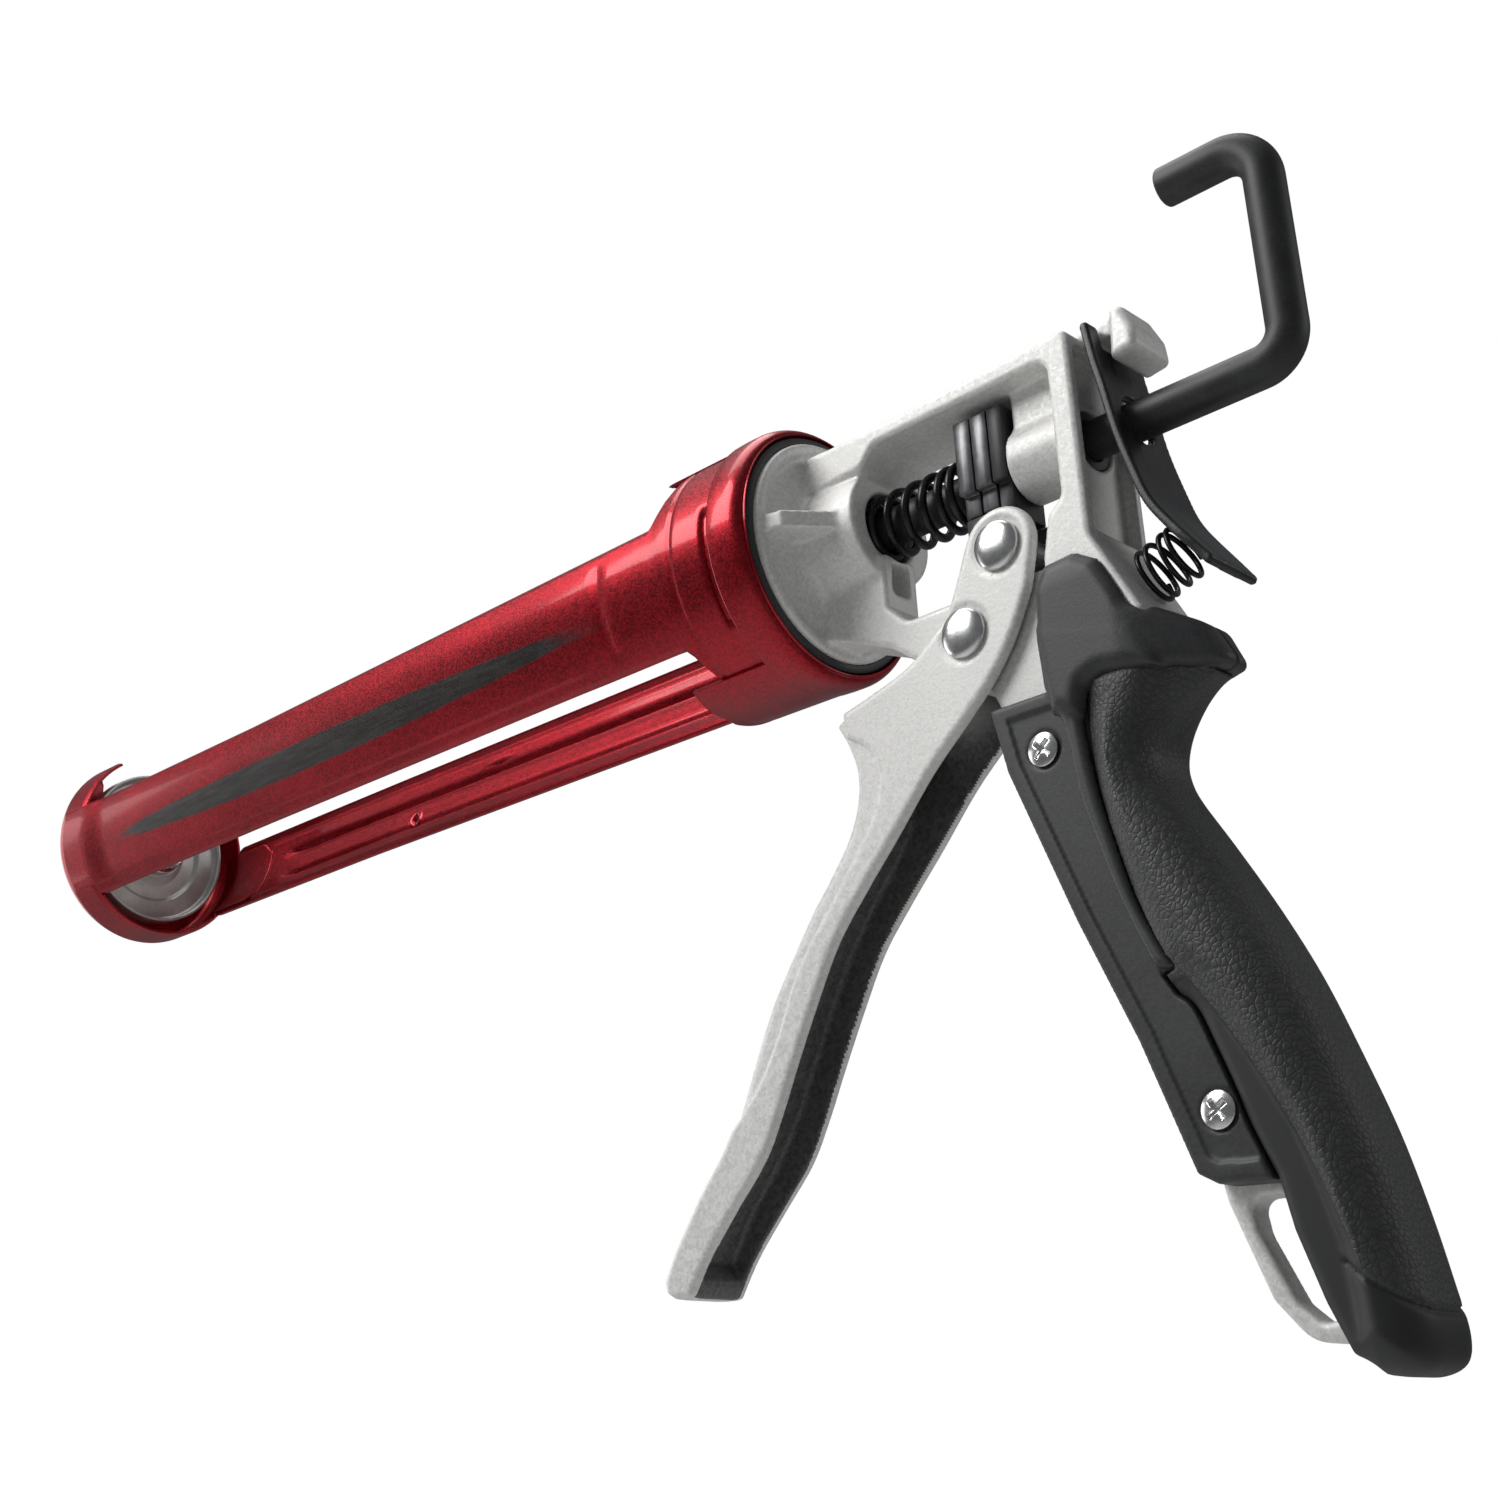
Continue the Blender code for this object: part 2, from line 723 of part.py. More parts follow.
def gusset_outline(gusset):
    """Reshape the helper into the flat rib that braces the flange on both sides."""
    outer = FLANGE_R - 3.0
    outline = [(1.5, -outer), (1.5, outer), (3.2, outer), (9.5, BOSS_R - 1), (9.5, 1 - BOSS_R), (3.2, -outer)]
    shape = bmesh.new()
    low = [shape.verts.new((x * MM, y * MM, -GUSSET_THICK / 2 * MM)) for x, y in outline]
    face = shape.faces.new(low)
    grown = bmesh.ops.extrude_face_region(shape, geom=[face])
    tops = [item for item in grown["geom"] if isinstance(item, bmesh.types.BMVert)]
    bmesh.ops.translate(shape, verts=tops, vec=(0, 0, GUSSET_THICK * MM))
    bmesh.ops.recalc_face_normals(shape, faces=shape.faces)
    shape.to_mesh(gusset.data)
    shape.free()


def lug_outline():
    """Side view of the hook that keeps the release lever's top end in place."""
    return [
        (LUG_X0, 11.6, 0.6),
        (LUG_X1, 12.4, 1.0),
        (LUG_X1 - 0.6, 17.0, 2.0),
        (LUG_X1 - 3.2, RAIL_TOP_REAR + 3.2, 2.2),
        (LUG_X0, RAIL_TOP_REAR + 2.9, 1.0),
    ]


def tang_outline():
    """Side view of the core inside the grip, ending in the lanyard loop."""
    return [
        (50.0, -52.0, 0),
        (62.0, -52.0, 0),
        (64.5, -80.0, 0),
        (77.0, -118.0, 0),
        (91.0, -149.0, 3),
        (103.0, -176.0, 3),
        (91.5, -175.5, 6),
        (85.0, -167.0, 4),
        (80.3, -151.0, 3),
        (78.4, -141.0, 0),
        (56.0, -80.0, 0),
    ]


def loop_hole_outline():
    """Side view of the hole in the lanyard loop."""
    return [
        (85.6, -152.0, 2.5),
        (90.3, -151.0, 2.0),
        (98.6, -171.8, 2.0),
        (93.0, -172.6, 2.5),
        (89.8, -168.5, 2.5),
    ]


def make_bushes():
    """Nylon bushes that the rod runs in."""
    for name, start, end in (
        ("front_bush", -FLANGE_THICK + 0.5, BOSS_END - 8.0 - GAP),
        ("rear_bush", REAR_BOSS_X + 0.6, FRAME_END - RECESS - GAP),
    ):
        profile = [(start, ROD_BORE), (start, BUSH_R), (end, BUSH_R), (end, ROD_BORE)]
        turned(name, profile, black_plastic(), steps=40)


def hook_path():
    """Centre line of the rod, from inside the pusher to the tip of the hook."""
    start = -FLANGE_X + PUSHER_FLOOR + GAP
    path = [(start + step * (HOOK_X - HOOK_BEND_LOW - start) / 12, 0.0, 0.0) for step in range(12)]
    steps = 8
    for step in range(steps + 1):
        angle = math.pi / 2 * step / steps
        x = HOOK_X - HOOK_BEND_LOW + HOOK_BEND_LOW * math.sin(angle)
        path.append((x, 0.0, HOOK_BEND_LOW - HOOK_BEND_LOW * math.cos(angle)))
    for step in range(steps + 1):
        angle = math.pi / 2 * step / steps
        x = HOOK_X - HOOK_BEND_HIGH + HOOK_BEND_HIGH * math.cos(angle)
        path.append((x, 0.0, HOOK_TOP - HOOK_BEND_HIGH + HOOK_BEND_HIGH * math.sin(angle)))
    path.append((HOOK_END, 0.0, HOOK_TOP))
    return path


def make_rod():
    """Push rod with its hook and stop ears, and the pusher that it carries."""
    rod = tube_along("push_rod", hook_path(), ROD_R, black_steel(), sides=20)
    ears = prism(
        "stop_ears",
        [(82.8, -0.6), (86.6, -0.6), (86.6, 0.6), (82.8, 0.6)],
        ROD_R + 2.0,
        black_steel(),
    )
    join(rod, ears)
    face = -FLANGE_X
    socket = ROD_R + GAP
    pusher_profile = [
        (face, 0.02),
        (face, PUSHER_R - 1.5),
        (face + 1.2, PUSHER_R),
        (face + PUSHER_THICK, PUSHER_R),
        (face + PUSHER_THICK, PUSHER_R - 6.0),
        (face + PUSHER_THICK - 2.2, PUSHER_R - 7.2),
        (face + PUSHER_THICK - 2.2, 10.0),
        (face + PUSHER_THICK - 0.4, 8.6),
        (face + PUSHER_THICK, 8.4),
        (face + PUSHER_THICK, socket),
        (face + PUSHER_FLOOR, socket),
        (face + PUSHER_FLOOR, 0.02),
    ]
    pusher = solid_of_revolution("pusher_disc", pusher_profile, bright_zinc(), 48)
    washer_x = face + PUSHER_THICK + GAP
    washer = [(washer_x, socket), (washer_x, 8.0), (washer_x + 1.2, 8.0), (washer_x + 1.2, socket)]
    turned("pusher_washer", washer, bright_steel(), steps=40)
    hex_nut("pusher_nut", washer_x + 1.2 + GAP, 5.0, 6.5, socket)
    return pusher


def bright_zinc():
    """Zinc plated pressing of the pusher."""
    return finish("bright_zinc", (0.7, 0.69, 0.67), 0.35, 0.9)


def solid_of_revolution(name, profile, material, steps=64):
    """Turn a profile whose first and last points lie on the axis."""
    inner = profile[1:-1]
    verts = [(profile[0][0], 0.0, 0.0), (profile[-1][0], 0.0, 0.0)]
    for step in range(steps):
        angle = FULL_TURN * step / steps
        verts += [(x, r * math.cos(angle), r * math.sin(angle)) for x, r in inner]
    count = len(inner)
    faces = []
    for step in range(steps):
        ahead = (step + 1) % steps
        for index in range(count - 1):
            a = 2 + step * count + index
            b = 2 + ahead * count + index
            faces.append((a, a + 1, b + 1, b))
        faces.append((0, 2 + step * count, 2 + ahead * count))
        faces.append((1, 2 + ahead * count + count - 1, 2 + step * count + count - 1))
    return solid(name, verts, faces, material)


def hex_nut(name, x, thick, flat_radius, bore, steps=6):
    """A six-sided nut on the rod."""
    corner = flat_radius / math.cos(math.pi / steps)
    verts = []
    sides = 4 * steps
    for at in (x, x + thick):
        for step in range(sides):
            angle = FULL_TURN * step / sides
            within = angle % (FULL_TURN / steps) - FULL_TURN / (2 * steps)
            reach = corner * math.cos(math.pi / steps) / math.cos(within)
            verts.append((at, reach * math.cos(angle), reach * math.sin(angle)))
        for step in range(sides):
            angle = FULL_TURN * step / sides
            verts.append((at, bore * math.cos(angle), bore * math.sin(angle)))
    faces = []
    for step in range(sides):
        ahead = (step + 1) % sides
        outer_low, inner_low = step, sides + step
        outer_ahead, inner_ahead = ahead, sides + ahead
        up = 2 * sides
        faces.append((outer_low, outer_ahead, outer_ahead + up, outer_low + up))
        faces.append((inner_low, inner_ahead, inner_ahead + up, inner_low + up))
        faces.append((outer_low, outer_ahead, inner_ahead, inner_low))
        faces.append((outer_low + up, outer_ahead + up, inner_ahead + up, inner_low + up))
    return solid(name, verts, faces, bright_steel())


def make_drive():
    """Two plates that bite on the rod, and the block that the trigger's roller pushes."""
    waist = WEB_HALF - 0.3
    for name, x in (("drive_plate_front", PLATE_X), ("drive_plate_rear", PLATE_X + PLATE_THICK + GAP)):
        plate = slab(name, x, x + PLATE_THICK, PLATE_HALF, PLATE_SHOULDER, PLATE_TOP, grey_steel())
        lower = slab(
            f"{name}_foot", x, x + PLATE_THICK, waist, PLATE_FOOT, PLATE_SHOULDER + 1.0, grey_steel()
        )
        join(plate, lower)
        cut(plate, rod_along_x(f"{name}_hole", x - 3, x + PLATE_THICK + 3, ROD_BORE, grey_steel()))
    leg_end = DRIVE_PIN[0] - ROLLER_R - GAP
    carrier = slab("drive_block", BLOCK_X, BLOCK_END, PLATE_HALF, PLATE_SHOULDER, PLATE_TOP, black_steel())
    under = PLATE_FOOT - GAP
    lower = slab(
        "block_waist", BLOCK_X, BLOCK_END, waist, under - BRIDGE_THICK, PLATE_SHOULDER + 1.0, black_steel()
    )
    bridge = slab("block_bridge", PLATE_X, BLOCK_END - 1.0, waist, under - BRIDGE_THICK, under, black_steel())
    leg = slab("block_leg", PLATE_X, leg_end, waist, BLOCK_FOOT, PLATE_FOOT - GAP - 1.0, black_steel())
    join(carrier, lower, bridge, leg)
    cut(carrier, rod_along_x("block_hole", BLOCK_X - 3, BLOCK_END + 3, ROD_BORE, black_steel()))


def slab(name, x0, x1, half, z0, z1, material):
    """A box whose origin lies on the rod's axis at its front face."""
    outline = [(x0, z0), (x1, z0), (x1, z1), (x0, z1)]
    return prism(name, outline, half, material, (x0, 0.0, 0.0))


def trigger_outline():
    """Side view of the trigger: head, front spur and the long finger lever."""
    front = curve_through(
        [(3.6, -42.6), (6.4, -48.0), (8.2, -54.5), (7.4, -61.2), (4.4, -67.6), (-0.8, -74.2),
         (-6.2, -80.2), (-12.6, -88.6), (-18.6, -97.0), (-23.4, -105.8), (-29.0, -117.0),
         (-33.2, -124.6), (-40.8, -133.2), (-48.4, -143.0), (-52.2, -149.4)]
    )
    back = curve_through(
        [(-49.0, -151.0), (-41.6, -144.4), (-31.4, -137.0), (-22.8, -128.6), (-17.4, -120.0),
         (-12.6, -111.0), (-6.2, -99.6), (0.6, -88.6), (8.6, -79.8), (18.0, -70.4), (28.1, -60.0), (38.2, -51.6),
         (45.4, -45.2), (51.3, -37.8), (56.2, -28.8)]
    )
    head = []
    steps = 10
    for step in range(steps + 1):
        angle = math.radians(-12 + 165 * step / steps)
        head.append((DRIVE_PIN[0] + 8.6 * math.cos(angle), DRIVE_PIN[1] + 8.4 * math.sin(angle)))
    neck = [(36.2, -27.6), (31.4, -31.8), (24.6, -36.4), (13.6, -39.6), (6.4, -41.2)]
    return front + [(-51.6, -151.6)] + back + head + neck


def cavity_outline():
    """Side view of the channel inside the trigger, open to the rear."""
    inner = curve_through(
        [(18.0, -33.0), (13.5, -44.0), (12.2, -55.0), (11.0, -62.6), (7.4, -69.6), (-0.2, -77.8),
         (-8.2, -88.6), (-14.8, -99.6), (-20.6, -110.6), (-26.0, -120.0), (-31.8, -127.8),
         (-39.4, -136.4), (-44.6, -144.0)],
        3,
    )
    return inner + [(-30.0, -160.0), (80.0, -60.0), (80.0, 10.0), (30.0, 10.0)]


def rivet(name, at, material):
    """A pin with a domed head outside each cheek of the trigger."""
    head = TRIGGER_HALF + GAP
    dome = []
    steps = 4
    for step in range(steps + 1):
        share = step / steps
        rise = PIN_HEAD_RISE * math.sin(math.pi / 2 * share)
        dome.append((head + rise, PIN_HEAD_R * math.cos(math.pi / 2 * share * 0.88)))
    far = [(head, PIN_R), (head, PIN_HEAD_R - 0.1), *dome]
    near = [(-y, r) for y, r in reversed(far)]
    return turned_y(name, near + far, at, material)


def make_trigger():
    """Trigger casting with its pivot rivet, drive rivet and roller."""
    silver = cast_silver()
    pivot = (PIVOT[0], 0.0, PIVOT[1])
    trigger = prism("trigger", trigger_outline(), TRIGGER_HALF, silver, pivot)
    cavity = prism("trigger_cavity", cavity_outline(), TRIGGER_HALF - CHEEK, silver)
    bores = [
        turned_y(f"trigger_bore_{index}", [(-20, PIN_R + GAP), (20, PIN_R + GAP)], at, silver)
        for index, at in enumerate((PIVOT, DRIVE_PIN))
    ]
    cut(trigger, cavity, *bores)
    rivet("pivot_pin", PIVOT, bright_steel())
    rivet("drive_pin", DRIVE_PIN, bright_steel())
    half = TRIGGER_HALF - CHEEK - GAP
    sleeve = [(-half, PIN_R + GAP), (-half, ROLLER_R), (half, ROLLER_R), (half, PIN_R + GAP)]
    roller_ring("drive_roller", sleeve, DRIVE_PIN, grey_steel())


def roller_ring(name, profile, at, material, steps=32):
    """A sleeve that turns on a pin along Y."""
    verts = []
    for step in range(steps):
        angle = FULL_TURN * step / steps
        verts += [(at[0] + r * math.cos(angle), y, at[1] + r * math.sin(angle)) for y, r in profile]
    return solid(name, verts, ring_faces(steps, len(profile)), material, (at[0], 0.0, at[1]))


def shell_outline():
    """Side view of the hard grip shells."""
    hood = [(59.6, -51.6, 0), (58.9, -33.0, 2.0), (60.6, -26.9, 1.5), (68.2, -26.9, 2.5), (74.0, -34.0, 0)]
    slope = [(78.6, -42.4, 0), (80.6, -45.4, 1.0), (88.6, -46.4, 3.0)]
    slope += [(93.6, -51.6, 3.0), (95.2, -57.0, 1.5), (86.0, -56.2, 3.0)]
    return hood + slope


def pad_front():
    """The line where the hard shells meet the elastomer pad, from top to bottom."""
    return [
        (69.0, -56.6), (67.4, -66.0), (68.2, -81.0), (71.4, -96.0), (76.0, -109.0), (83.0, -121.0),
        (87.2, -131.0), (91.0, -142.0), (93.0, -149.4),
    ]


def grip_back():
    """The palm side of the grip, from the horn down to the heel."""
    return [
        (86.2, -57.6), (80.6, -61.0), (78.2, -66.0), (77.8, -70.0), (80.4, -77.4), (85.6, -86.8),
        (92.8, -100.4), (99.0, -114.0), (104.2, -128.6), (108.6, -142.4), (111.8, -156.0), (113.6, -167.5),
    ]


def make_grip():
    """Hard left and right shells, the elastomer palm pad, and their fasteners."""
    hard = black_plastic()
    front = [(44.6, -52.0), (47.4, -65.6), (59.3, -97.7), (69.4, -121.8)]
    front += [(77.9, -146.6), (81.4, -148.6), (92.2, -149.4)]
    seam = [(x - GAP - 0.1, z) for x, z in reversed(curve_through(pad_front(), 3))]
    outline = front + seam[1:] + [(69.2, -56.0), (86.0, -56.0)]
    hood = shell_outline()
    for name, side in (("grip_left", -1), ("grip_right", 1)):
        low, high = sorted((side * GAP / 2, side * PANEL_HALF))
        shell = prism(name, outline[:-1], high, hard, low=low)
        low, high = sorted((side * GAP / 2, side * GRIP_HALF))
        cover = prism(f"{name}_hood", rounded(hood), high, hard, low=low)
        spine = prism(f"{name}_spine", spine_outline(), high, hard, low=low)
        join(shell, cover, spine)
        cut(shell, grip_core(name))
        for index, at in enumerate(SCREWS):
            bore = turned_y(f"{name}_bore_{index}", [(-20, SCREW_R + GAP), (20, SCREW_R + GAP)], at, hard)
            cut(shell, bore)
            if side > 0:
                floor = PANEL_HALF - NUT_THICK - GAP
                cut(shell, nut_shape(f"{name}_pocket_{index}", at, NUT_FLAT_R + GAP, floor, 20))
    for index, at in enumerate(SCREWS):
        grip_screw(("grip_screw_upper", "grip_screw_lower")[index], at)
        name = ("grip_nut_upper", "grip_nut_lower")[index]
        nut = nut_shape(name, at, NUT_FLAT_R, PANEL_HALF - NUT_THICK, PANEL_HALF)
        cut(nut, turned_y(f"nut_bore_{index}", [(0, SCREW_R + GAP), (20, SCREW_R + GAP)], at, hard))
    make_pad()


def spine_outline():
    """Side view of the raised band between the screw panel and the pad."""
    seam = [(x - GAP - 0.1, z) for x, z in curve_through(pad_front(), 3) if z > -124.0]
    left = [(60.2, -51.0), (60.4, -64.0), (62.0, -80.0), (66.2, -98.0), (72.5, -111.0), (80.6, -122.0)]
    return left + seam[::-1] + [(69.0, -50.0)]


def grip_core(name):
    """Cutter that leaves the shells clear of the body casting inside them."""
    room = WEB_HALF + GAP
    outline = [(40.0, -40.0), (40.0, -58.0), (49.0, -58.0), (49.0, -60.0), (62.6, -60.0)]
    outline += [(67.0, -30.0), (90.0, -20.0), (80.0, -10.0), (40.0, -20.0)]
    core = prism(f"{name}_core", outline, room, black_plastic())
    slim = prism(
        f"{name}_tang_room",
        grown([(x, z) for x, z, _ in tang_outline()], GAP + 0.1),
        TANG_HALF + GAP,
        black_plastic(),
    )
    wide = prism(
        f"{name}_frame_room",
        [(50.0, -10.0), (61.0, -26.6), (68.6, -28.0), (79.2, -45.6), (82.6, -43.2), (90.0, -30.0),
         (75.0, -10.0)],
        FRAME_HALF + GAP,
        black_plastic(),
    )
    join(core, slim, wide)
    return core


def grip_screw(name, at):
    """A pan-head screw with a cross recess, through both shells."""
    head = PANEL_HALF + GAP
    rise = SCREW_HEAD_RISE
    profile = [
        (-head - rise, SCREW_HEAD_R * 0.55),
        (-head - rise * 0.8, SCREW_HEAD_R * 0.86),
        (-head - rise * 0.3, SCREW_HEAD_R),
        (-head, SCREW_HEAD_R),
        (-head, SCREW_R),
        (PANEL_HALF - 0.2, SCREW_R),
    ]
    screw = turned_y(name, profile, at, bright_steel(), steps=28)
    for index, turn in enumerate((0, 90)):
        half_long, half_thick = 2.0, 0.45
        outline = [(-half_long, -half_thick), (half_long, -half_thick)]
        outline += [(half_long, half_thick), (-half_long, half_thick)]
        c, s = math.cos(math.radians(turn + 45)), math.sin(math.radians(turn + 45))
        placed = [(at[0] + x * c - z * s, at[1] + x * s + z * c) for x, z in outline]
        slot = prism(f"{name}_slot_{index}", placed, -head - rise + 1.1, bright_steel(), low=-head - rise - 2)
        cut(screw, slot)


def nut_shape(name, at, flat, low, high):
    """A six-sided prism along Y."""
    corner = flat / math.cos(math.pi / 6)
    turns = [FULL_TURN * s / 6 for s in range(6)]
    outline = [(at[0] + corner * math.cos(a), at[1] + corner * math.sin(a)) for a in turns]
    return prism(name, outline, high, bright_steel(), low=low)


def make_pad():
    """Elastomer pad that fills the palm side of the grip, with its heel."""
    front = curve_through(pad_front(), 3)
    heel = [(93.2, -156.0), (98.4, -171.0), (101.6, -179.0), (104.0, -181.6)]
    heel += [(112.6, -182.2), (116.0, -178.6), (115.4, -172.6)]
    back = list(reversed(curve_through(grip_back(), 3)))
    pad = prism("grip_pad", front + heel + back, GRIP_HALF - 0.2, black_rubber())
    soften(pad, 5.0, 60, 3)
    loop_room = [(70.0, -149.0), (92.5, -148.0), (104.2, -176.6), (102.0, -180.0), (85.0, -180.0)]
    cut(pad, prism("loop_room", loop_room, TANG_HALF + GAP, black_rubber()))


def lever_centre():
    """Centre line of the bent release plate, from its top end to the thumb pad."""
    top = (LEVER_HINGE[0] - 0.6, RAIL_TOP_REAR - 0.6)
    return [top, (78.3, 5.0), (80.2, -5.0), (84.4, -20.0), (87.0, -25.4), (95.4, -37.4)]


def thick_strip(points, thick):
    """Outline of a strip of even thickness along a centre line."""
    left, right = [], []
    for index, (x, z) in enumerate(points):
        ahead = Vector(points[min(index + 1, len(points) - 1)])
        behind = Vector(points[max(index - 1, 0)])
        along = (ahead - behind).normalized()
        side = Vector((-along.y, along.x)) * thick / 2
        left.append((x + side.x, z + side.y))
        right.append((x - side.x, z - side.y))
    return left + right[::-1]


def make_release():
    """Bent release lever round the rod, and its spring."""
    origin = (LEVER_HINGE[0], 0.0, LEVER_HINGE[1])
    bent = thick_strip(lever_centre(), LEVER_THICK)
    lever = prism("release_lever", bent, LEVER_HALF, black_steel(), origin)
    notch = block("lever_notch", 70.0, 84.0, NECK_HALF + 2 * GAP, ROOF - 2.2, 30.0, black_steel())
    cut(lever, notch, rod_along_x("lever_hole", 70.0, 90.0, LEVER_HOLE_R, black_steel()))
    coil(
        "release_spring",
        (78.4, 0.0, -33.2),
        (87.4, 0.0, -29.9),
        RELEASE_R,
        RELEASE_WIRE,
        RELEASE_TURNS,
        black_steel(),
    )


def make_rod_spring():
    """Spring that pushes the drive plates and the trigger back."""
    start = BOSS_END - 8.0 + GAP
    end = PLATE_X - GAP
    turns = (end - start) / SPRING_PITCH
    coil("rod_spring", (start, 0, 0), (end, 0, 0), SPRING_R, SPRING_WIRE, turns, black_steel())


def add_lanyard_hole():
    """Open the lanyard loop below the grip."""
    body = bpy.data.objects["cast_body"]
    cut(body, prism("loop_hole", rounded(loop_hole_outline()), 12.0, cast_silver()))


def main():
    """Clear the scene and build every piece."""
    for item in list(bpy.data.objects):
        bpy.data.objects.remove(item)
    make_barrel()
    make_body()
    add_lanyard_hole()
    make_bushes()
    make_rod()
    make_drive()
    make_trigger()
    make_grip()
    make_release()
    make_rod_spring()


if __name__ == "__main__":
    main()
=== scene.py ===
"""Looks of a skeleton caulking gun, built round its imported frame.

The barrel, casting, rod, drive, trigger, grip and release lever are classes. Each one holds its
own sizes in millimetres, counted from the body's flange edge, and turns them into frame metres.
"""

import logging  # noqa: E402
import math  # noqa: E402
from collections.abc import Sequence  # noqa: E402
from dataclasses import dataclass, field  # noqa: E402
from enum import Enum  # noqa: E402

import bpy  # noqa: E402
import numpy as np  # noqa: E402
from mathutils import Matrix, Vector  # noqa: E402


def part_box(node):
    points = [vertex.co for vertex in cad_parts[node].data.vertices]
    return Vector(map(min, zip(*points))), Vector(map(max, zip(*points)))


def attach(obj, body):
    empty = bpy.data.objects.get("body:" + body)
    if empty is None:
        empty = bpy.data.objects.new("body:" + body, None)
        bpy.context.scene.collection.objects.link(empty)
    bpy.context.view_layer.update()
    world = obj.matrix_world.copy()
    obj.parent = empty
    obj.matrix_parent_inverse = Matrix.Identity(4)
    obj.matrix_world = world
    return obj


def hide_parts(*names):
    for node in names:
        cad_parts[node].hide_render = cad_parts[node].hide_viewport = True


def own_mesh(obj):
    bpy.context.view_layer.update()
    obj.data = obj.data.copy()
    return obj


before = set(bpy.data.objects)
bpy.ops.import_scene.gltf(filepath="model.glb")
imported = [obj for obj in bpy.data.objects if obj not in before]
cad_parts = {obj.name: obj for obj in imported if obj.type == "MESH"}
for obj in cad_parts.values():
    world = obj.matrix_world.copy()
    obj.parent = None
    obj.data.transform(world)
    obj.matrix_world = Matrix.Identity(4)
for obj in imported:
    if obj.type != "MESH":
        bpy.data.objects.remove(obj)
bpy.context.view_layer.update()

LOG = logging.getLogger("caulking_gun")
TURN = 2 * math.pi
Point = tuple[float, float]
Corner = tuple[float, float, float]
Array = np.ndarray


@dataclass(frozen=True)
class Datum:
    """Where the gun's own millimetres lie in the frame."""

    mm: float = 0.001
    flange_x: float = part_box("bearing_ring")[1].x + 0.0008
    muzzle: float = (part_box("front_cup")[0].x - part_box("bearing_ring")[1].x) * 1000 - 0.8

    def place(self, points: Array) -> Array:
        """Turn gun millimetres into frame metres.

        Args:
            points: An (n, 3) array in gun millimetres.

        Returns:
            The same points in frame metres.
        """
        return np.asarray(points, float) * self.mm + np.array([self.flange_x, 0.0, 0.0])

    def centre(self, node: str) -> Vector:
        """Middle of a CAD node in gun millimetres.

        Args:
            node: The CAD node's name.

        Returns:
            The middle of its box.
        """
        low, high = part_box(node)
        middle = (low + high) / 2 - Vector((self.flange_x, 0, 0))
        return middle / self.mm


DATUM = Datum()


class Body(Enum):
    """The moving bodies that pieces ride on."""

    CASTING = "body"
    BARREL = "barrel"
    ROD = "rod"
    DRIVE = "drive"
    TRIGGER = "trigger"
    ROLLER = "roller"
    RELEASE = "release"


# ---------------------------------------------------------------- shader maths


class Wire:
    """A shader socket that adds Math nodes when it is used in a Python expression."""

    def __init__(self, nodes: "NodeBench", socket: object) -> None:
        """Hold a socket and the bench that it belongs to."""
        self.bench = nodes
        self.socket = socket

    def _join(self, operation: str, left: object, right: object) -> "Wire":
        """Add one Math node on two values."""
        return self.bench.node("ShaderNodeMath", {"operation": operation}, {0: left, 1: right})

    def __add__(self, other: object) -> "Wire":
        """Sum."""
        return self._join("ADD", self, other)

    __radd__ = __add__

    def __sub__(self, other: object) -> "Wire":
        """Difference."""
        return self._join("SUBTRACT", self, other)

    def __rsub__(self, other: object) -> "Wire":
        """Reflected difference."""
        return self._join("SUBTRACT", other, self)

    def __mul__(self, other: object) -> "Wire":
        """Product."""
        return self._join("MULTIPLY", self, other)

    __rmul__ = __mul__

    def __truediv__(self, other: object) -> "Wire":
        """Quotient."""
        return self._join("DIVIDE", self, other)

    def __pow__(self, other: object) -> "Wire":
        """Power."""
        return self._join("POWER", self, other)

    def __abs__(self) -> "Wire":
        """Absolute value."""
        return self.bench.node("ShaderNodeMath", {"operation": "ABSOLUTE"}, {0: self})

    def least(self, other: object) -> "Wire":
        """Smaller of two."""
        return self._join("MINIMUM", self, other)

    def most(self, other: object) -> "Wire":
        """Larger of two."""
        return self._join("MAXIMUM", self, other)

    def ramp(self, start: float, end: float) -> "Wire":
        """Ease from 0 at start to 1 at end."""
        settings = {"interpolation_type": "SMOOTHSTEP", "clamp": True}
        return self.bench.node("ShaderNodeMapRange", settings, {0: self, 1: start, 2: end, 3: 0.0, 4: 1.0})


